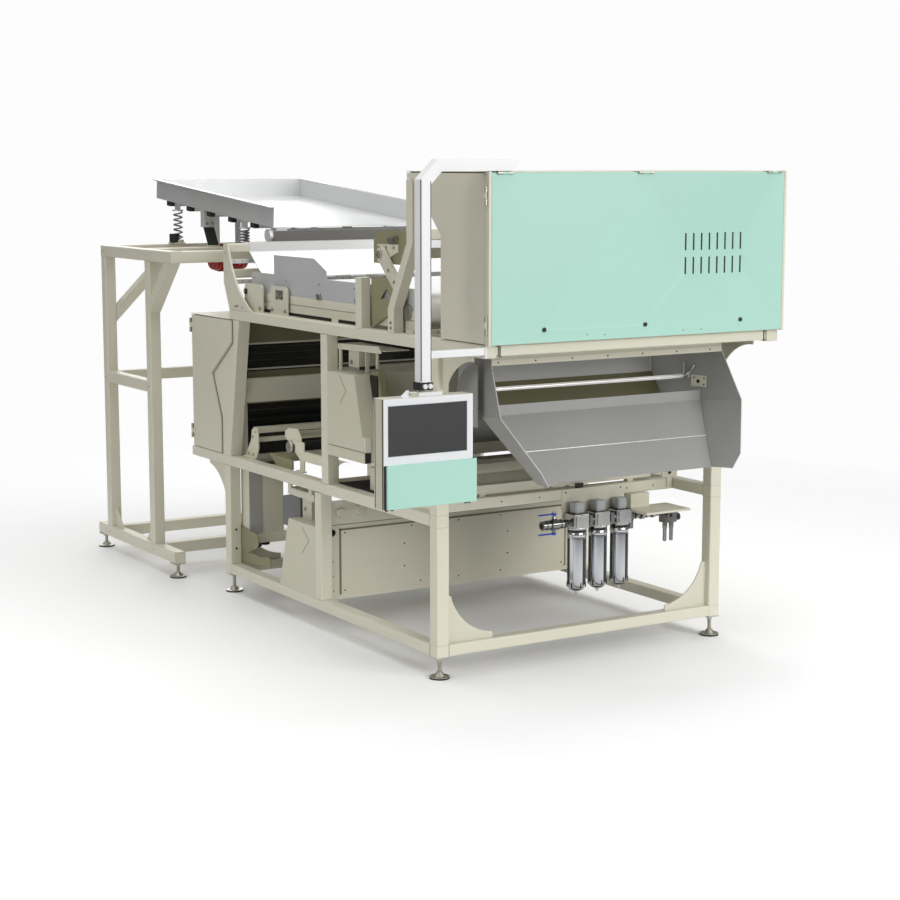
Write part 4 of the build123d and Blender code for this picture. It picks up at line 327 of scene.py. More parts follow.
# Black rubber for rings, pads, rollers and plugs; the same black also fills gaps, slots, openings and
# bore mouths as painted shade.
rubber_and_shade = painted("black_rubber_and_painted_shade", linear(34, 33, 32), 0.7, 0.2, 0.5)
dress(zinc, "levelling_feet", "hinge_pins")
foot_places = [(30, 30), (30, 2000), (-75, 2453), (-75, 3433)]
threads = Piece(both_sides=True)
rings = Piece(both_sides=True)
for x, y in foot_places:
    top = 60 if x < 0 else 74
    for i in range(int((top - 30) / 4)):
        z = 30 + i * 4
        threads.turned("z", (x, y), ((z, 8.1), (z + 1, 9.2), (z + 2, 8.1)), 16)
    rings.turned("z", (x, y), ((0.2, 42.4), (4, 42.8), (7, 42.3)), 32)
threads.done("foot_threads", zinc)
rings.done("foot_rubber_rings", rubber_and_shade)

# Belt conveyor
# Two folded side beams carry the rollers on through axles. The belt is a smooth white food belt
# that slides over a steel bed, between bright side strips and upright guards. Screws in the end
# plate windows tighten it.

turned_steel = metal("turned_steel", linear(178, 178, 176), 0.32, (1, 14, 14), 90)
sheet_bright = metal("bright_sheet", linear(222, 223, 223), 0.36, (1, 1, 30), 60, metallic=0.45)
belt_white = painted("belt_cover", linear(222, 223, 220), 0.5, 0.05, 0.1)
dress(cream, "conveyor_sides")
dress(turned_steel, "roller_axles", "drive_roller", "tail_roller", "belt_bed")
dress(belt_white, "conveyor_belt")
dress(sheet_bright, "inlet_guards")

conveyor_screws = Piece(both_sides=True)
for i in range(5):
    conveyor_screws.button("x", (470 + i * 330, 1580), 64, -2, 3.6)
for y in (1850, 1868):
    conveyor_screws.button("x", (y, 1440), 0, -2.5, 4.5)
conveyor_screws.done("conveyor_screws", dark_steel_and_shade)

# Darker lines along the beam folds are painted shade in the creases.
groove = Piece(both_sides=True)
for z in (1511.5, 1549):
    groove.block(66.8, 68.2, 275, 1815, z - 1, z + 0.5)
groove.block(59.2, 61, 275, 1400, 1472.2, 1473.8)
groove.done("beam_fold_shade_lines", joint_line_and_fold_shade)

tension = Piece(both_sides=True)
TENSION_Y, TENSION_Z = 1493, 1512
tension.pipe(((50, TENSION_Y - 36, TENSION_Z), (50, TENSION_Y + 36, TENSION_Z)), 5)
tension.block(44.6, 67, TENSION_Y - 18, TENSION_Y + 6, 1494, 1533)
for y in (TENSION_Y + 10, TENSION_Y - 30):
    tension.hexagon("y", (50, TENSION_Z), 9, y, y + 8)
tension.done("belt_tension_screws", zinc, edge=0.6)
tail_pads = Piece(both_sides=True)
tail_pads.block(26, 31.5, 1806, 1832, 1500, 1526)
tail_pads.done("tail_plate_pads", rubber_and_shade, edge=1)
# Black strips fill the gap under the conveyor beams: painted shade.
deck_gap_shade = Piece(both_sides=True)
deck_gap_shade.block(64, 66, 690, 1840, 1420.5, 1439)
deck_gap_shade.done("deck_gap_shade_strips", rubber_and_shade)
pad_nuts = Piece(both_sides=True)
pad_nuts.hexagon("x", (1819, 1513), 8, 20, 26)
for y, z in ((1426, 1440), (1560, 1440), (1668, 1440)):
    pad_nuts.hexagon("x", (y, z), 9, 38 if y < 1600 else 26, 44 if y < 1600 else 32)
pad_nuts.done("end_plate_nuts", zinc, edge=0.6)

rail_clamps = Piece(both_sides=True)
for y in (1120, 760, 480):
    rail_clamps.block(52, 68, y - 16, y + 16, 1511.2, 1525)
    rail_clamps.block(56, 64, y - 8, y + 30, 1525, 1534)
    rail_clamps.turned("z", (60, y), ((1525, 7), (1541, 7), (1543, 5)), 16)
rail_clamps.done("rail_clamps", zinc, edge=1)

# Feeder stand
# Free-standing sled frame of the same tube, braced in its corners, that carries the tray. Flat
# bolts hold the cross tubes.

dress(cream, "stand_posts", "stand_base", "stand_rails")
stand_bolts = Piece(both_sides=True)
for y in (2710, 3305):
    for z in (107, 970, 1654):
        stand_bolts.button("x", (y, z), -105, -2.5, 5)
stand_bolts.done("stand_screws", zinc)

# Vibrating tray
# Open-fronted pan of stainless sheet on cross channels. It rests on four coil springs and is led
# by leaning black leaves. Two red motors with out-of-balance weights shake it; each has cooling
# ribs, domed end covers and a terminal box.

black_block = painted("black_block", linear(36, 36, 36), 0.55, 0.2, 0.3)
wire = metal("spring_wire", linear(150, 152, 156), 0.3)
red_paint = painted("motor_red", linear(150, 26, 20), 0.38, 0.12)
hood_sheet = metal("fine_grained_stainless", linear(157, 157, 155), 0.48, (30, 1, 1), 40,
                   metallic=0.12)
lip_sheet = metal("shaded_lip_sheet", linear(112, 110, 106), 0.5, (1, 30, 30), 40, metallic=0.6)
dress(sheet_bright, "tray_pan", "tray_ribs", "lip_tube")
dress(black_block, "rib_blocks", "leaf_springs")
dress(cream, "spring_seats")
dress(lip_sheet, "tray_flap")
dress(wire, "coil_springs")

MOTOR_Y, MOTOR_Z, MOTOR_R = 3040, 1613, 75
RIB_LOW_R, RIB_HALF = 68, 0.035
motors = Piece(both_sides=True)
cover_r = MOTOR_R * 0.86
motors.turned("x", (MOTOR_Y, MOTOR_Z), (
    (414, cover_r - 14), (417, cover_r - 5), (424, cover_r), (438, cover_r),
    (440, 70), (590, 70), (592, cover_r), (606, cover_r), (613, cover_r - 5),
    (616, cover_r - 14)), 40)
for i in range(20):
    turn = i * math.tau / 20
    spots = [(MOTOR_Y + r * math.cos(turn + s), MOTOR_Z + r * math.sin(turn + s)) for r, s in (
        (RIB_LOW_R, -RIB_HALF), (MOTOR_R, -RIB_HALF), (MOTOR_R, RIB_HALF), (RIB_LOW_R, RIB_HALF))]
    motors.slab("x", spots, 452, 578)
motors.block(470, 560, 2968, 2990, 1570, 1650)
motors.done("vibrator_motor_bodies", red_paint, "tray", ("vibrator_motors",), 1)
hangers = Piece(both_sides=True)
for x in (448, 574):
    hangers.block(x, x + 8, 3012, 3068, 1660, 1889)
hangers.done("motor_hangers", sheet_bright, "tray", (), 1)
cushions = Piece(both_sides=True)
cushions.turned("z", (301.5, 3268), ((1692.5, 26), (1694, 28), (1738, 28), (1740, 26)), 28)
cushions.done("spring_cushions", rubber_and_shade)
motor_bolts = Piece(both_sides=True)
for i in range(6):
    turn = i * math.tau / 6
    spot = (MOTOR_Y + 48 * math.cos(turn), MOTOR_Z + 48 * math.sin(turn))
    motor_bolts.bolt("x", spot, 415, -4.5, 5)
    motor_bolts.bolt("x", spot, 615, 4.5, 5)
for x in (478, 552):
    for z in (1578, 1642):
        motor_bolts.button("y", (x, z), 2968, -3, 4)
motor_bolts.done("motor_cover_bolts", zinc, "tray")

clamp_bolts = Piece(both_sides=True)
for x in (314, 346):
    clamp_bolts.bolt("y", (x, 1806), 2869, -6, 6)
clamp_bolts.done("leaf_clamp_bolts", zinc, "tray")
leaf_bolts = Piece(both_sides=True)
for x in (314, 346):
    leaf_bolts.bolt("z", (x, 2842), 1692, 6, 6)
for x in (276, 308):
    leaf_bolts.bolt("z", (x, 1992), 1619, 6, 6)
leaf_bolts.done("leaf_foot_bolts", zinc)

tray_hem = Piece(both_sides=True)
TRAY_FRONT = (2055, 1805)
slope = math.radians(5)


def tray_point(x, along, up):
    """A point from its place along the tray floor and its height over the floor."""
    return (x, TRAY_FRONT[0] + along * math.cos(slope) - up * math.sin(slope),
            TRAY_FRONT[1] + along * math.sin(slope) + up * math.cos(slope))


tray_hem.pipe([tray_point(277.5, 2, 101.5), tray_point(277.5, 1448, 101.5)], 2, 8)
tray_hem.pipe([tray_point(302, 1.5, 2), tray_point(302, 1.5, 104)], 1.4, 8)
for along in (200, 480, 760, 1040, 1320):
    for up in (14, 90):
        x, y, z = tray_point(300, along, up)
        tray_hem.button("x", (y, z), 300, -2, 4.5)
tray_hem.done("tray_hems_and_rivets", sheet_bright, "tray")

# Gantry and drop plate
# Two plate brackets with curved feet and two cross tubes hold the bright plate that turns the
# product from the tray down on to the belt. Rows of small screws hold its stiffening strips.

dress(cream, "gantry")
dress(sheet_bright, "drop_plate")
strips = Piece()
for z in (1640, 1540):
    strips.block(4, FRAME_W - 4, 1956.6, 1959.6, z, z + 22)
strips.done("gantry_strips", sheet_bright, edge=0.4)
strip_screws_rear = Piece()
for z in (1651, 1551):
    for i in range(36):
        strip_screws_rear.button("y", (40 + i * 40, z), 1956.6, -1.6, 4)
strip_screws_rear.done("gantry_strip_screws", turned_steel)
gantry_bolts = Piece(both_sides=True)
for y, z in ((1975, 1690), (1975, 1600), (1800, 1436), (1880, 1436)):
    gantry_bolts.button("x", (y, z), 0, -2.5, 5)
gantry_bolts.done("gantry_screws", zinc)
drop_hem = Piece()
drop_hem.pipe(((121, 1806.5, 1576.5), (1379, 1806.5, 1576.5)), 2.2, 8)
drop_hem.pipe(((121, 1957, 1697), (1379, 1957, 1697)), 1, 8)
drop_hem.done("drop_plate_hem", sheet_bright)

# Rear box
# Sheet-metal box for the rear cameras and lamps. Its inner face holds dark windows between trim
# strips; the bands between the windows are painted darker as shade. A hinged door on each side
# follows a bent groove, painted as a dark band of shade with a lighter bead down its middle.
# A screwed panel with vents closes the back; the vents and the gap round the panel are painted shade.

dark_glass = Finish("camera_window", linear(20, 21, 22), Roughness=0.12, Specular_IOR_Level=0.5)
dark_glass["Roughness"] = dark_glass.noise(6, 4) * 0.12 + 0.06
groove_shade = painted("groove_shade_olive", linear(112, 108, 86), 0.6, 0.1)
dress(cream, "left_rear_door", "right_rear_door", "rear_box")
dress(dark_glass, "view_windows")

# A flat dark band along the door groove is painted shade of the recess; a lighter raised bead runs down
# its middle.
door_groove_shade = Piece(both_sides=True)
door_groove_line = ((1918, 1364), (1918, 1258), (2151, 1089), (2054, 877), (2054, 697))
door_groove_shade.strip("x", door_groove_line, 15, -0.4, 0.4)
door_groove_shade.done("rear_door_groove_shade", groove_shade)
door_groove_beads = Piece(both_sides=True)
door_groove_beads.strip("x", door_groove_line, 8, -1.2, 0)
door_groove_beads.done("rear_door_groove_beads", painted("groove_bead", linear(172, 168, 146), 0.5))

window_trim = Piece()
for z in (1222, 1192, 1158):
    window_trim.block(104, 1396, 1963.4, 1965, z, z + 2)
window_trim.block(104, 1396, 1963.4, 1965, 912, 913.5)
window_trim.done("window_trim_lines", painted("dark_trim", linear(56, 53, 50), 0.4))
# The bands above and below the windows are painted dark olive: painted shade inside the box.
band_shade = Piece()
band_shade.block(102, 1398, 1960.2, 1961.6, 944, 1106)
band_shade.block(102, 1398, 1960.2, 1961.6, 1246, 1364)
band_shade.done("shaded_window_bands", painted("window_band_shade", linear(106, 104, 80), 0.5))
sill = Piece()
sill.block(100, 1400, 1958, 1962, 1113, 1121)
sill.done("window_sills", painted("sill_grey", linear(176, 176, 168), 0.4), edge=0.6)

BACK_Y = 2402.5
rear_panel = Piece()
rear_panel.block(110, 1390, BACK_Y - 2, BACK_Y, 730, 1335)
rear_panel.done("rear_service_panel", cream)
rear_screws_and_vent_shade = Piece()
for z in (745, 1320):
    for i in range(6):
        rear_screws_and_vent_shade.turned("y", (128 + i * 248.8, z), ((BACK_Y - 0.5, 4), (BACK_Y + 0.6, 4)), 12)
# The vent stripes and the lines round the panel below are painted shade of the slots and the gap.
for row in range(6):
    for side in (0, 1):
        x = 300 + side * 700
        z = 1180 + row * 18
        rear_screws_and_vent_shade.block(x, x + 200, BACK_Y - 1, BACK_Y + 0.25, z, z + 6)
for x in (109, 1390):
    rear_screws_and_vent_shade.block(x, x + 1.5, BACK_Y - 1, BACK_Y + 0.25, 729, 1336)
for z in (729, 1335):
    rear_screws_and_vent_shade.block(109, 1391, BACK_Y - 1, BACK_Y + 0.25, z, z + 1.5)
rear_screws_and_vent_shade.done("rear_panel_screws_and_vent_shade", dark_steel_and_shade)

# Reject conveyor
# Low cross beam, bearing plates and side rails between the rear box and the sorting boxes, cut
# from cream plate. They stand on the middle rails and carry the flanged bearings of a small roller.

reject_cream = painted("reject_plate_coat", linear(206, 202, 182), 0.45)
bearing_plates = Piece(both_sides=True)
bearing_plates.slab("x", ((1925, 692), (1859, 779), (1846, 835), (1812, 846), (1780, 846),
                          (1776, 749), (1800, 692)), 64, 71)
bearing_plates.block(52, 71, 1800, 1925, 692, 698)
bearing_plates.slab("x", ((1512, 835), (1512, 864), (1474, 883), (1383, 888), (1347, 850),
                          (1348, 810), (1467, 812)), 76, 82)
bearing_plates.slab("x", ((1400, 777), (1399, 832), (1308, 832), (1306, 692), (1350, 692),
                          (1350, 745)), 70, 76)
bearing_plates.block(52, 76, 1290, 1360, 692, 698)
bearing_plates.block(66, 86, 1080, 1316, 745, 790)
bearing_plates.done("reject_bearing_plates", reject_cream, edge=1.2)
cross_bars = Piece()
cross_bars.block(71, 1429, 1800, 1846, 818, 846)
cross_bars.block(71, 1429, 1806, 1840, 774, 798)
cross_bars.block(82, 1418, 1480, 1496, 836, 862)
cross_bars.done("reject_cross_bars", reject_cream, edge=2)
reject_roller = Piece()
reject_roller.turned("x", (1822, 808), ((70, 13), (1430, 13)), 16)
reject_roller.turned("x", (1447, 795), ((82, 24), (1418, 24)), 24)
reject_roller.done("reject_roller", rubber_and_shade)
flanges = Piece(both_sides=True)
flanges.turned("x", (1447, 795), ((60, 12), (60, 26), (66, 30), (76, 30)), 28)
flanges.turned("x", (1447, 795), ((54, 9), (60, 9)), 20)
for y, z in ((1447, 818), (1447, 772)):
    flanges.bolt("x", (y, z), 63, -5, 4)
for y, z in ((1880, 712), (1830, 712), (1838, 800), (1800, 826)):
    flanges.bolt("x", (y, z), 64, -5, 4.5)
flanges.done("reject_bearings", zinc)
wedges = Piece(both_sides=True)
wedges.slab("x", ((1640, 742), (1400, 738), (1400, 691.8), (1560, 691.8)), 56, 64)
wedges.slab("x", ((1640, 738), (1400, 734), (1400, 738), (1640, 742)), 64, 190)
olive_shade = painted("shaded_olive_coat", linear(134, 130, 102), 0.5)
wedges.done("reject_wedges", olive_shade)

# Top cabinet
# Folded cabinet for the controls. Its mint front cover hangs on three hinges and has two rows of
# cooling slots, and a cream door closes each end. Struts and bolted links carry it at the back.

mint = painted("mint_powder_coat", linear(161, 202, 188), 0.4, 0.03)
dress(cream, "cabinet_shell", "left_cabinet_door", "right_cabinet_door", "cabinet_struts")
dress(mint, "front_cover")
dress(black_block, "cover_locks")

COVER_FACE_Y = -386
cover_screws = Piece()
for x, z in ((470, 1447), (556, 1443), (958, 1443), (1052, 1443)):
    cover_screws.button("y", (x, z), COVER_FACE_Y, -1.5, 2.6)
cover_screws.done("cover_screws", dark_steel_and_shade, "front_cover")
SLOT_FIRST_X, SLOT_STEP, SLOT_ROWS = FRAME_W - 540, 41.5, (1674, 1772)
# Black rectangles over the cooling slots are painted shade inside them.
slot_mouth_shade = Piece()
for i in range(8):
    for z in SLOT_ROWS:
        x = SLOT_FIRST_X + i * SLOT_STEP
        slot_mouth_shade.block(x - 1.5, x + 6.5, COVER_FACE_Y - 0.4, COVER_FACE_Y + 0.3, z - 1, z + 69)
slot_mouth_shade.done("cover_slot_shade", rubber_and_shade, "front_cover")
cover_gap = Piece()
for x in (12.2, 1486.6):
    cover_gap.block(x, x + 1.2, -383, -381, 1424, 2090)
cover_gap.done("cover_gap_shade", rubber_and_shade)

pivots = Piece(both_sides=True)
pivots.turned("x", (540, 1740), ((38, 17), (40, 19), (46, 19)), 28)
pivots.hexagon("x", (540, 1740), 11, 30, 38)
for y, z in ((468, 1676), (420, 1628)):
    pivots.bolt("x", (y, z), 46, -5, 5)
for z in (1440, 1462):
    pivots.bolt("x", (371, z), 0, -4, 5)
pivots.done("link_pivot_bolts", zinc, edge=0.6)

link_plates = Piece(both_sides=True)
link_plates.slab("x", ((598, 1706), (598, 1782), (422, 1786), (422, 1752),
                       (470, 1738), (520, 1700)), 66, 72.2)
link_plates.done("link_bracket_plates", cream, edge=1)
plate_bolts = Piece(both_sides=True)
for y in (582, 520, 456):
    plate_bolts.bolt("x", (y, 1770), 66, -5, 5)
plate_bolts.done("link_plate_bolts", zinc)
belt_hood_ends = Piece(both_sides=True)
belt_hood_ends.slab("x", ((640, 1700), (640, 1808), (612, 1838), (424, 1846),
                          (300, 1848), (300, 1740), (392, 1700)), 72, 76)
belt_hood_ends.done("belt_hood_ends", olive_shade, edge=1)
belt_hood_roof = Piece()
belt_hood_roof.slab("x", ((604, 1808), (604, 1812), (576, 1840), (424, 1846),
                          (392, 1806), (394, 1802), (426, 1842), (574, 1836)), 76, 1424)
belt_hood_roof.done("belt_hood_roof", cream)
foot_plates = Piece(both_sides=True)
outer = ((621, 1638), (509, 1646), (393, 1618), (362, 1598), (415, 1511),
         (615, 1421))
hole = ((542, 1551), (492, 1597), (456, 1558))
for part in ((outer[0], outer[1], hole[1], hole[0]), (*outer[1:4], hole[2], hole[1]),
             (*outer[3:], hole[0], hole[2]), (outer[5], outer[0], hole[0])):
    foot_plates.slab("x", part, 48, 52)
foot_plates.done("strut_foot_plates", olive_shade)
hood_catches = Piece(both_sides=True)
hood_catches.block(58, 72, 440, 500, 1790, 1812)
hood_catches.block(58, 66, 424, 448, 1796, 1822)
hood_catches.done("hood_catches", zinc, edge=1)

# Operator panel
# Touch panel in a thin light frame on a cream case, with a mint lower door on a cream back. It
# swivels under a light grey extruded column that comes down from the roof arm.

alloy = painted("light_grey_extrusion", linear(220, 221, 220), 0.36, 0.03, 0.08)
case_paint = painted("panel_case_cream", linear(184, 180, 162), 0.42)
bezel_white = painted("panel_frame", linear(218, 220, 222), 0.3, 0.02, 0.05)
screen_film = Finish("screen_film", linear(58, 58, 59), Roughness=0.4, Specular_IOR_Level=0.25)
screen_film["Roughness"] = screen_film.noise(9, 4) * 0.14 + 0.3
dress(alloy, "pendant_arm")
dress(case_paint, "panel_case")
dress(bezel_white, "panel_bezel")
dress(screen_film, "panel_screen")

PANEL_LEFT, PANEL_RIGHT, LOWER_RIGHT = -480, -84, -68
lower_case = Piece()
lower_case.block(PANEL_LEFT, PANEL_RIGHT, -398.6, -326, 824, 993.4)
lower_case.done("panel_lower_case", case_paint, "panel", ("panel_lower_box",), 1)
lower_door = Piece()
lower_door.block(PANEL_LEFT + 10, LOWER_RIGHT, -410, -401, 824, 994)
lower_door.done("panel_lower_door", mint, "panel", (), 1.2)
panel_gasket = Piece()
panel_gasket.block(PANEL_LEFT + 1, PANEL_RIGHT, -402, -398.6, 826, 992)
for y0, y1 in ((-396, -389), (-338, -334)):
    panel_gasket.block(PANEL_LEFT - 0.5, PANEL_LEFT, y0, y1, 824, 1245.5)
panel_gasket.block(PANEL_LEFT + 3, PANEL_RIGHT - 3, -399, -330, 993, 994.6)
for x in (-474, -450, -120, -104):
    panel_gasket.block(x, x + 9, -406, -396, 819, 824.2)
panel_gasket.done("panel_gaskets_and_feet", rubber_and_shade, "panel")
screen_edge = Piece()
for x in (-463, -111.6):
    screen_edge.block(x, x + 1.6, -404.2, -402, 1026, 1220)
for z in (1026, 1218.4):
    screen_edge.block(-463, -110, -404.2, -402, z, z + 1.6)
screen_edge.done("screen_rim", painted("rim_grey", linear(120, 122, 124), 0.4), "panel")
top_plate = Piece()
top_plate.block(-315.6, -211.4, -387.2, -338.8, 1246.2, 1261)
top_plate.slab("y", ((-386, 1246.2), (-386, 1252), (-364, 1272), (-352, 1272),
                     (-352, 1264), (-315, 1264), (-315, 1246.2)), -374, -371)
top_plate.block(-386, -315, -386, -345, 1246.2, 1249)
top_plate.done("panel_top_plate", bezel_white, "panel", (), 0.8)

column_lines = Piece()
column_lines.block(-306.3, -302.5, -386.4, -383, 1301, 2064)
column_lines.block(-263.5, -259.7, -386.4, -383, 1301, 2058)
column_lines.done("column_slots", painted("slot_shade", linear(84, 84, 82), 0.6))
coupling_block = Piece()
coupling_block.block(-311, -255, -391, -335, 1268, 1299)
coupling_block.done("coupling_cheeks", rubber_and_shade, edge=1.5)
coupling_caps = Piece()
for x in (-292, -269):
    coupling_caps.turned("y", (x, 1283.5), ((-391, 10), (-397, 10), (-399, 8)), 24)
coupling_caps.block(-306.5, -259.5, -386.5, -339.5, 1299, 1303)
coupling_caps.done("coupling_screws", alloy, edge=0.6)
arm_screws = Piece()
for z in (1383, 1409):
    arm_screws.button("x", (-310, z), -6, -3, 4)
for x in (44, 96):
    arm_screws.button("y", (x, 2095), -361, -2, 4)
arm_screws.done("arm_screws", zinc)

# Discharge hood
# Stainless side sheets, folded chute and cream top strip that catch the sorted product. Thin near-white
# beads along its edges and its fold are painted highlights, and a splitter bar with a hand lever
# divides the two streams; its sleeve carries the same painted highlight.

dress(hood_sheet, "hood_sides", "hood_chute")
dress(cream, "hood_back")
dress(turned_steel, "splitter_bar")
# Near-white bright metal for thin lines that are painted highlights on the hood's edges and fold.
edge_highlight = metal("painted_edge_highlight", linear(236, 236, 234), 0.3, metallic=0.5)

# Thin near-white beads along the side sheet edges are painted highlights.
hem_highlights = Piece(both_sides=True)
hem_highlights.pipe(((153, -169, 1321), (128.8, -277, 1117)), 1.2, 8)
hem_highlights.pipe(((128.8, -277, 1117), (238.3, -407, 905), (276.1, -403, 845)), 1.5, 8)
hem_highlights.done("hood_side_hem_highlights", edge_highlight)
# A thin near-white bead along the chute fold is a painted highlight.
fold = Piece()
fold.pipe(((243.5, -183.6, 958.6), (1256.5, -183.6, 958.6)), 1.7, 8)
fold.done("chute_fold_highlight", edge_highlight)

lining = Piece()
lining.block(250, 1250, 212, 214.5, 1202, 1330)
lining.done("hood_rear_lining", hood_sheet)
# Dark olive plate inside the hood above the chute: painted shade of the hood's interior.
shaded_lower_plate = Piece()
shaded_lower_plate.slab("x", ((214, 1202), (212, 1202), (118, 1060), (121, 1060)), 238, 1262)
shaded_lower_plate.done("hood_lower_plate_shade", painted("hood_inner_shade", linear(88, 86, 62), 0.5))
cross_rails = Piece()
cross_rails.block(236, 1264, 176, 206, 1118, 1140)
cross_rails.block(226, 1274, 150, 160, 1090, 1104)
cross_rails.done("hood_cross_rails", hood_sheet, edge=2)

strip_screws = Piece()
for i in range(7):
    strip_screws.button("y", (187 + i * 182, 1330), -169, -2, 3.6)
strip_screws.done("hood_strip_screws", dark_steel_and_shade)

# A black block in the gap at the rail ends is painted shade.
rail_gap_shade = Piece(both_sides=True)
rail_gap_shade.block(73.5, 78.5, -351.2, -349.4, 1372, 1417)
rail_gap_shade.done("cabinet_rail_gap_shade", rubber_and_shade)


def cheek(y, off):
    """How far across the inner face of the right cheek is, moved off it by a distance."""
    return 1309.2 - 0.224 * y - off


splitter_holder = Piece()
corners = ((-91, 1154), (-91, 1204), (-10, 1204), (-10, 1154))
splitter_holder.bit([(cheek(y, off), y, z) for off in (0.5, 5) for y, z in corners],
                    [(3, 2, 1, 0), (4, 5, 6, 7), (0, 1, 5, 4), (1, 2, 6, 5), (2, 3, 7, 6), (3, 0, 4, 7)])
splitter_holder.done("splitter_holder", cream, edge=0.6)
# Dark discs on the holder plate are painted shade inside its holes.
holder_hole_shade = Piece()
for y, z in ((-80, 1193), (-80, 1165), (-26, 1193)):
    holder_hole_shade.turned("x", (y, z), ((cheek(y, 6), 4), (cheek(y, 4), 4)), 16)
holder_hole_shade.turned("x", (-50, 1178), ((cheek(-50, 12), 6), (cheek(-50, 4), 8)), 20)
holder_hole_shade.done("splitter_holder_hole_shade", dark_steel_and_shade)
chrome = metal("bright_plating", linear(196, 198, 202), 0.14, depth=0.01)
splitter_grip = Piece()
splitter_grip.pipe(((1290, 5, 1206), (1300, -20, 1222), (1304, -36, 1252)), 4.6)
splitter_grip.done("splitter_grip", chrome, "splitter")
# The sleeve's near-white finish is a painted highlight over the bar's own bright steel.
bar_sleeve = Piece()
bar_sleeve.turned("x", (5, 1199), ((214, 9), (1270, 9)), 16)
bar_sleeve.done("splitter_sleeve", edge_highlight, "splitter")

# Front trough
# Folded cream channel with rounded ends that stands on the front beam and leads fallen product
# away, and the grey sheet that slopes down to it from the upper sorting box.

trough = Piece()
trough_profile = ((300, 705), (302, 742), (306, 742), (304, 709), (424, 709),
                  (422, 772), (426, 772), (428, 705))
trough.slab("x", trough_profile, 300, 1330)
for x in (400, 1200):
    trough.block(x, x + 30, 301, 330, 691.8, 705.2)
trough.done("front_trough", cream)
trough_ends = Piece(both_sides=True)
round_end = [(300 + 64 + 64 * math.cos(t), 742 + 37 * math.sin(t))
             for t in (math.pi * i / 12 for i in range(13))]
trough_ends.slab("x", [(428, 705), *round_end, (300, 705)], 296, 300)
trough_ends.done("front_trough_ends", cream, edge=0.8)
fall_sheet = Piece()
fall_sheet.slab("x", ((338, 1040), (612, 877), (612, 882), (340, 1045)), 74, 1426)
fall_sheet.done("fall_sheet", painted("shaded_sheet", linear(112, 112, 109), 0.5))
tee_plug = Piece()
tee_plug.turned("y", (1420, 721), ((273.6, 9.5), (280, 9)), 20)
tee_plug.done("tee_plate_plug", rubber_and_shade)
plate_screws = Piece()
for x in (838, 1140):
    plate_screws.button("y", (x, 676), 274, -2, 4)
for x in (500, 700, 930, 1180, 1330):
    plate_screws.button("y", (x, 667), 280, -2, 3.6)
plate_screws.block(895, 935, 276, 284, 691.8, 712)
plate_screws.done("front_beam_screws", dark_steel_and_shade)

# Sorting boxes
# Closed cream boxes across the machine that hold cameras and lamps. Each end is creased like an
# arrow head. Small sensor boxes, a shelf and the air ejector bar belong to them.

olive = painted("grey_beige_powder_coat", linear(189, 186, 167), 0.45)
crease_shade = painted("crease_line", linear(104, 100, 80), 0.5)
dress(olive, "camera_boxes", "ejector_bar")
dress(cream, "product_chutes", "lower_panel")

creases = Piece(both_sides=True)
creases.strip("x", ((824, 1193), (770, 1131), (826, 1075)), 2.6, 1.3, 2.2)
creases.strip("x", ((1205, 456), (1136, 401), (1207, 332)), 2.6, 1.3, 2.2)
creases.strip("x", ((607, 878), (944, 878)), 3, 1.3, 2.2)
creases.done("box_creases", crease_shade)
# Black blocks stand for openings in the sorting boxes: painted shade.
opening_shade = Piece(both_sides=True)
opening_shade.block(4, 32, 602.6, 606.4, 831, 876)
opening_shade.block(72, 160, 770, 773.8, 1222, 1236)
opening_shade.block(78, 84, 628, 692, 1000, 1207)
opening_shade.done("box_opening_shade", rubber_and_shade)
box_bolts = Piece(both_sides=True)
box_bolts.bolt("x", (839, 1253), 70, -7, 8)
box_bolts.bolt("x", (1300, 520), 70, -7, 8)
for y, z in ((1110, 200), (1110, 340), (1250, 300), (1360, 330), (1400, 200),
             (700, 1100), (900, 1150), (900, 930), (660, 930)):
    box_bolts.button("x", (y, z), 2, -1, 2.2)
box_bolts.done("sorting_box_bolts", zinc)
hangers_and_shelf = Piece(both_sides=True)
hangers_and_shelf.block(88, 106, 742, 750, 1210, 1324)
hangers_and_shelf.slab("x", ((960, 1302), (960, 1328), (575, 1342), (553, 1312)), 58, 61)
hangers_and_shelf.block(62, 70, 923, 945, 1208, 1324)
hangers_and_shelf.block(3, 30, 601, 625, 880, 944)
hangers_and_shelf.slab("x", ((1470, 571), (1461, 605), (1200, 603), (1200, 566)), 64, 68)
hangers_and_shelf.block(64, 180, 1200, 1461, 600, 603)
for y in (1210, 1420):
    hangers_and_shelf.block(56, 68, y, y + 30, 600, 642.3)
hangers_and_shelf.done("sensor_hangers", cream, edge=0.8)
lamp_tubes = Piece(both_sides=True)
lamp_tubes.slab("x", ((700, 1222), (631, 1228), (545, 905), (614, 905)), 86, 118)
lamp_tubes.done("lamp_tubes", olive_shade, edge=2)
lamp_boxes = Piece(both_sides=True)
lamp_boxes.slab("x", ((1342, 477), (1342, 572), (1424, 574), (1526, 552), (1530, 412),
                      (1361, 412)), 66, 150)
lamp_boxes.done("lower_lamp_boxes", painted("lamp_box_grey", linear(104, 105, 104), 0.5),
                edge=2)

fall_guides = Piece(both_sides=True)
curve = [(1012, 700)] + [(1002 - 150 * (1 - math.cos(t)), 702 + 96 * math.sin(t))
                         for t in (math.pi / 2 * i / 10 for i in range(11))]
fall_guides.slab("x", [*curve, (1012, 798)], 59, 64)
fall_guides.done("fall_guides", cream)
fall_box = Piece()
fall_box.block(80, 1420, 590, 700, 696, 800)
fall_box.done("fall_box", cream, edge=3)
# A black sheet under and before the fall box is painted shade in the slot.
fall_slot_shade = Piece()
fall_slot_shade.block(58, 1442, 540, 944, 691.8, 697)
fall_slot_shade.block(80, 1420, 560, 590.4, 696, 760)
fall_slot_shade.done("fall_slot_shade", rubber_and_shade)

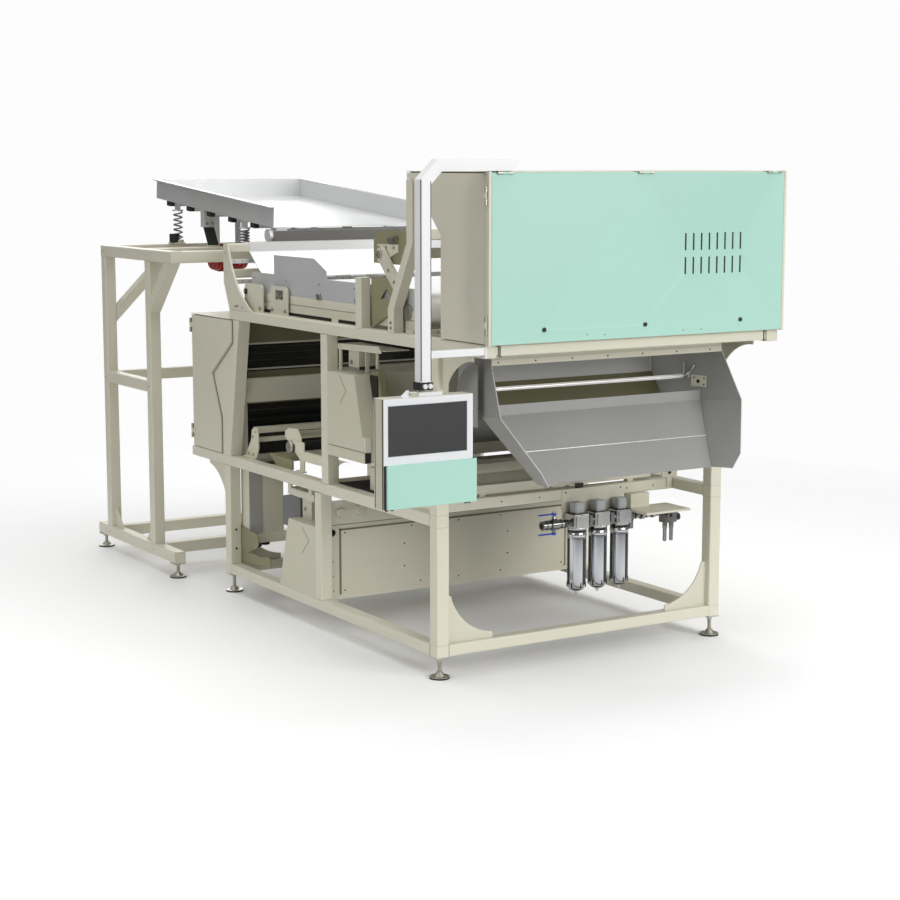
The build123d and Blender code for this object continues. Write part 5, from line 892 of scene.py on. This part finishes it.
# Dark lines round the inset cover of the lower panel are painted shade in its groove.
cover_groove_shade = Piece()
for x in (114, 1377):
    cover_groove_shade.block(x, x + 9, 1047.6, 1050.4, 152, 461)
cover_groove_shade.block(114, 1386, 1047.6, 1050.4, 452, 460)
cover_groove_shade.done("panel_cover_groove_shade", groove_shade)
panel_screws = Piece()
for x, z in ((141, 441), (141, 170), (460, 358), (460, 251), (548, 170),
             (760, 441), (760, 170), (1040, 358), (1040, 251), (1359, 441),
             (1359, 170), (1000, 170), (500, 441), (1000, 441)):
    panel_screws.button("y", (x, z), 1047, -2, 4)
for z in (170, 240, 310):
    panel_screws.button("y", (82, z), 1050, -1.5, 3)
panel_screws.done("lower_panel_screws", dark_steel_and_shade)
fold_line = Piece()
fold_line.block(66, 1434, 1048.4, 1050.2, 478, 480.5)
fold_line.done("trough_fold_line", crease_shade)
trough_knobs = Piece(both_sides=True)
trough_knobs.turned("y", (110, 540), ((1012, 20), (1018, 22), (1040, 22)), 28)
trough_knobs.turned("y", (210, 548), ((1000, 24), (1008, 27), (1036, 27)), 28)
trough_knobs.done("trough_knobs", cream)

duct_brackets = Piece(both_sides=True)
duct_brackets.slab("x", ((1976, 330), (1800, 318), (1786, 300), (1784, 268),
                         (1806, 246), (1860, 228), (1900, 206), (1976, 206)), 60.2, 66)
duct_brackets.slab("x", ((1976, 206), (1900, 206), (1840, 214), (1760, 210),
                         (1680, 224), (1658, 214), (1654, 176), (1976, 146)), 62, 66)
duct_brackets.block(60, 66, 1968, 1976, 146, 330)
duct_brackets.done("duct_brackets", olive_shade, edge=0.8)
duct_bolts = Piece(both_sides=True)
for z in (318, 222):
    duct_bolts.turned("y", (30, z), ((1966, 4), (1967.5, 5.5), (1970, 5.5)), 16)
duct_bolts.done("duct_bracket_bolts", rubber_and_shade)
duct_spouts = Piece(both_sides=True)
duct_spouts.turned("z", (118, 1944), ((226, 30), (230, 36), (256, 36), (262, 30)), 28)
duct_spouts.turned("z", (170, 1930), ((236, 22), (262, 22)), 24)
duct_spouts.done("duct_spouts", rubber_and_shade)
duct_face = Piece(both_sides=True)
duct_face.block(70, 138, 1896, 1899.8, 300, 640)
duct_face.done("duct_grey_face", painted("duct_grey", linear(158, 157, 154), 0.45))

# Compressed air set
# Three filters with ported heads, square caps and metal bowls hang under the front beam. A
# threaded inlet with two lever valves feeds them, and a row of fittings ends in a regulator
# block with two outlets.

cast_grey = painted("cast_grey", linear(158, 160, 161), 0.32, 0.12, 0.4)
lever_blue = painted("dipped_blue_grip", linear(26, 60, 190), 0.3, 0.05)
nickel = metal("nickel_plating", linear(206, 206, 205), 0.2, depth=0.02)
fitting_steel = metal("plated_fittings", linear(150, 150, 150), 0.16, depth=0.02)
dress(lever_blue, "upper_lever", "lower_lever")
dress(black_block, "regulator_knob")

AIR_Y, PIPE_Z = 231, 548
AIR_X = FRAME_W - 510
FILTERS = (AIR_X - 121, AIR_X - 6, AIR_X + 114)
heads = Piece()
caps_grey = Piece()
collars = Piece()
bowls = Piece()
sight_strips = Piece()
for x in FILTERS:
    heads.block(x - 41, x + 41, AIR_Y - 38, AIR_Y + 38, 524, 588)
    heads.block(x - 32, x + 34, AIR_Y - 43, AIR_Y - 38, 530, 582)
    caps_grey.block(x - 24, x + 24, AIR_Y - 24, AIR_Y + 24, 590, 640)
    collars.turned("z", (x, AIR_Y), ((486, 42.5), (490, 43.4), (502, 43.4), (506, 41)), 40)
    collars.turned("z", (x, AIR_Y), ((518, 43), (524, 43)), 40)
    bowls.turned("z", (x, AIR_Y), (
        (252, 36.5), (258, 39.6), (272, 41.4), (300, 41.8), (470, 41.8), (486, 41)), 48)
    bowls.turned("z", (x, AIR_Y), ((223, 4), (226, 6), (232, 6), (232.5, 9), (240, 9)), 20)
    sight_strips.turned("z", (x, AIR_Y), ((239, 12), (241, 22), (247, 32), (252, 36.6)), 40)
    sight_strips.turned("z", (x, AIR_Y), ((506, 42), (518, 42)), 40)
    for i in range(6):
        turn = math.radians(i * 60 + 24)
        c, s = math.cos(turn), math.sin(turn)
        sight_strips.turned("z", (x + 40.4 * c, AIR_Y + 40.4 * s), ((256, 3), (280, 3)), 8)
    for i in range(3):
        turns = [math.radians(i * 120 + 172 + a) for a in range(-16, 17, 4)]
        rim = [(x + 42.2 * math.cos(t), AIR_Y + 42.2 * math.sin(t)) for t in turns]
        back = [(x + 40 * math.cos(t), AIR_Y + 40 * math.sin(t)) for t in reversed(turns)]
        sight_strips.slab("z", rim + back, 270, 478)
    sight_strips.block(x - 39, x + 39, AIR_Y - 36, AIR_Y + 36, 587.5, 590.5)
heads.done("filter_head_castings", nickel, "frame", ("filter_heads",), 2.2)
caps_grey.done("filter_caps", cast_grey, edge=4)
bowls.done("filter_bowl_shells", chrome, "frame", ("filter_bowls",))
collars.done("filter_collars", nickel)
sight_strips.done("filter_sight_strips", dark_glass)

fittings = Piece()
fittings.turned("x", (AIR_Y, PIPE_Z), (
    (679, 15), (679, 21), (686, 21), (687, 18), (700, 18), (701, 22),
    (712, 22), (713, 17), (726, 17), (727, 24), (764, 24), (766, 18),
    (776, 18), (777, 21), (790, 21), (792, 13), (828, 13)), 32)
fittings.hexagon("x", (AIR_Y, PIPE_Z), 23, 740, 752)
fittings.hexagon("x", (AIR_Y, PIPE_Z), 20, 800, 814)
fittings.turned("z", (745, AIR_Y), ((500, 5), (596, 5), (604, 5)), 16)
fittings.turned("z", (745, AIR_Y), ((560, 10), (584, 10), (588, 8)), 20)
fittings.turned("z", (745, AIR_Y), ((516, 8), (520, 10), (536, 10)), 20)
for a, b in zip(FILTERS, FILTERS[1:]):
    fittings.turned("x", (AIR_Y, 552), ((a + 41, 16), (a + 48, 20), (b - 48, 20),
                                        (b - 41, 16)), 28)
    fittings.block(a + 50, b - 50, AIR_Y - 32, AIR_Y + 32, 530, 576)
start, end = FILTERS[2] + 41, AIR_X + 355
fittings.turned("x", (AIR_Y, PIPE_Z), ((start, 13), (end, 13)), 24)
for i, (wide, radius) in enumerate(((18, 24), (10, 17), (20, 22), (12, 18),
                                    (18, 21), (10, 16))):
    x = start + 12 + i * 31
    fittings.hexagon("x", (AIR_Y, PIPE_Z), radius, x, x + wide)
outlet_l, outlet_r = AIR_X + 355, AIR_X + 425
fittings.block(outlet_l, outlet_r, AIR_Y - 22, AIR_Y + 22, 500, 566)
fittings.block(outlet_l + 14, outlet_r - 14, AIR_Y - 14, AIR_Y + 14, 566, 570)
fittings.turned("y", (outlet_l + 26, 536), ((AIR_Y - 34, 14), (AIR_Y - 30, 17),
                                            (AIR_Y - 22, 17)), 28)
fittings.hexagon("x", (AIR_Y, 548), 20, outlet_r, outlet_r + 12)
for x in (AIR_X + 373, AIR_X + 410):
    fittings.hexagon("z", (x, AIR_Y), 13, 484, 500)
    fittings.turned("z", (x, AIR_Y), ((412, 7), (414, 9), (470, 9), (472, 11),
                                      (484, 11)), 24)
fittings.block(start + 4, start + 26, AIR_Y - 16, AIR_Y + 16, 492, 530)
fittings.done("air_fittings", fitting_steel, "frame", ("air_pipes",), 0.8)
# Dark rings mark the joints between fittings; dark discs in the bore mouths are painted shade.
joint_rings_and_bore_shade = Piece()
for x in (700.5, 712.5, 726.3, 765, 776.5, 791):
    joint_rings_and_bore_shade.turned("x", (AIR_Y, PIPE_Z), ((x - 0.9, 18.6), (x + 0.9, 18.6)), 28)
for i in range(6):
    x = start + 8 + i * 31
    joint_rings_and_bore_shade.turned("x", (AIR_Y, PIPE_Z), ((x, 14.6), (x + 4, 14.6)), 20)
joint_rings_and_bore_shade.turned("x", (AIR_Y, PIPE_Z), ((678.8, 14.4), (680, 14.4)), 24)
for x in (AIR_X + 373, AIR_X + 410):
    joint_rings_and_bore_shade.turned("z", (x, AIR_Y), ((411.6, 6.2), (412.4, 6.2)), 20)
joint_rings_and_bore_shade.turned("y", (outlet_l + 26, 536), ((AIR_Y - 34.4, 8), (AIR_Y - 33.6, 8)), 20)
joint_rings_and_bore_shade.done("air_port_rings_and_bore_shade", rubber_and_shade)
lever_nuts = Piece()
lever_nuts.hexagon("z", (745, AIR_Y), 8.5, 600.2, 606)
lever_nuts.hexagon("z", (745, AIR_Y), 8.5, 498, 503.8)
lever_nuts.done("lever_nuts", zinc, edge=0.5)

# Studio
# Pale floor that fades into a white surround. One large soft key stands at the front right, a weak
# fill at the left, broad lights overhead and behind. The surround is darker at eye height, which
# gives bright metal its dark bands.

FLOOR_R = 14
floor_mesh = bpy.data.meshes.new("studio_floor")
rim = [(FLOOR_R * math.cos(a), FLOOR_R * math.sin(a), 0) for a in (i * math.tau / 64 for i in range(64))]
floor_mesh.from_pydata(rim, [], [list(range(64))])
floor = bpy.data.objects.new("studio_floor", floor_mesh)
bpy.context.scene.collection.objects.link(floor)
pale = Finish("pale_floor", (0.9, 0.9, 0.9, 1), Roughness=0.7, Specular_IOR_Level=0.1)
reach = pale.node("ShaderNodeVectorMath", {"operation": "LENGTH"}, {0: pale.place()}, "Value")
pale["Alpha"] = ((5.4 - reach) * 0.38).clamped()
floor_mesh.materials.append(pale.material)

scene = bpy.context.scene
scene.view_settings.view_transform = "Standard"
world = bpy.data.worlds.new("studio")
scene.world = world
world.use_nodes = True
sky = world.node_tree
glow = sky.nodes["Background"]
glow.inputs["Strength"].default_value = 0.72
heading = sky.nodes.new("ShaderNodeTexCoord")
split = sky.nodes.new("ShaderNodeSeparateXYZ")
height = sky.nodes.new("ShaderNodeMapRange")
height.inputs["From Min"].default_value = -1
bands = sky.nodes.new("ShaderNodeValToRGB")
for place, level in ((0.42, 0.16), (0.66, 0.2), (0.82, 1)):
    stop = bands.color_ramp.elements.new(place)
    stop.color = (level, level, level, 1)
bands.color_ramp.elements[0].color = (0.5, 0.5, 0.5, 1)
sky.links.new(heading.outputs["Generated"], split.inputs[0])
sky.links.new(split.outputs["Z"], height.inputs["Value"])
sky.links.new(height.outputs["Result"], bands.inputs["Fac"])
sky.links.new(bands.outputs["Color"], glow.inputs["Color"])
backdrop = sky.nodes.new("ShaderNodeBackground")
backdrop.inputs["Color"].default_value = (0.98, 0.98, 0.98, 1)
chooser = sky.nodes.new("ShaderNodeMixShader")
sight = sky.nodes.new("ShaderNodeLightPath")
sky.links.new(sight.outputs["Is Camera Ray"], chooser.inputs[0])
sky.links.new(glow.outputs[0], chooser.inputs[1])
sky.links.new(backdrop.outputs[0], chooser.inputs[2])
sky.links.new(chooser.outputs[0], sky.nodes["World Output"].inputs["Surface"])


def softbox(name, place, target, width, height, power):
    light = bpy.data.lights.new(name, "AREA")
    light.shape = "RECTANGLE"
    light.size = width
    light.size_y = height
    light.energy = power
    lamp = bpy.data.objects.new(name, light)
    lamp.location = place
    lamp.rotation_euler = (Vector(target) - Vector(place)).to_track_quat("-Z", "Y").to_euler()
    scene.collection.objects.link(lamp)


softbox("key", (2.2, -8, 3), (0, -0.8, 1), 5, 3.6, 350)
softbox("fill", (-7, -3, 3.2), (0, 0, 1.4), 4, 3, 130)
softbox("overhead", (0.5, 0, 6), (0, 0, 0), 6, 6, 190)
softbox("behind", (2, 8, 4), (0, 1, 1), 4, 4, 150)

lens = bpy.data.cameras.new("camera")
lens.lens = 77.83
lens.sensor_width = 36
camera = bpy.data.objects.new("camera", lens)
camera.location = (-4.6596, -8.24424, 2.1272)
camera.rotation_euler = tuple(math.radians(a) for a in (81.6, 0, -31.8))
scene.collection.objects.link(camera)
bpy.context.scene.camera = camera
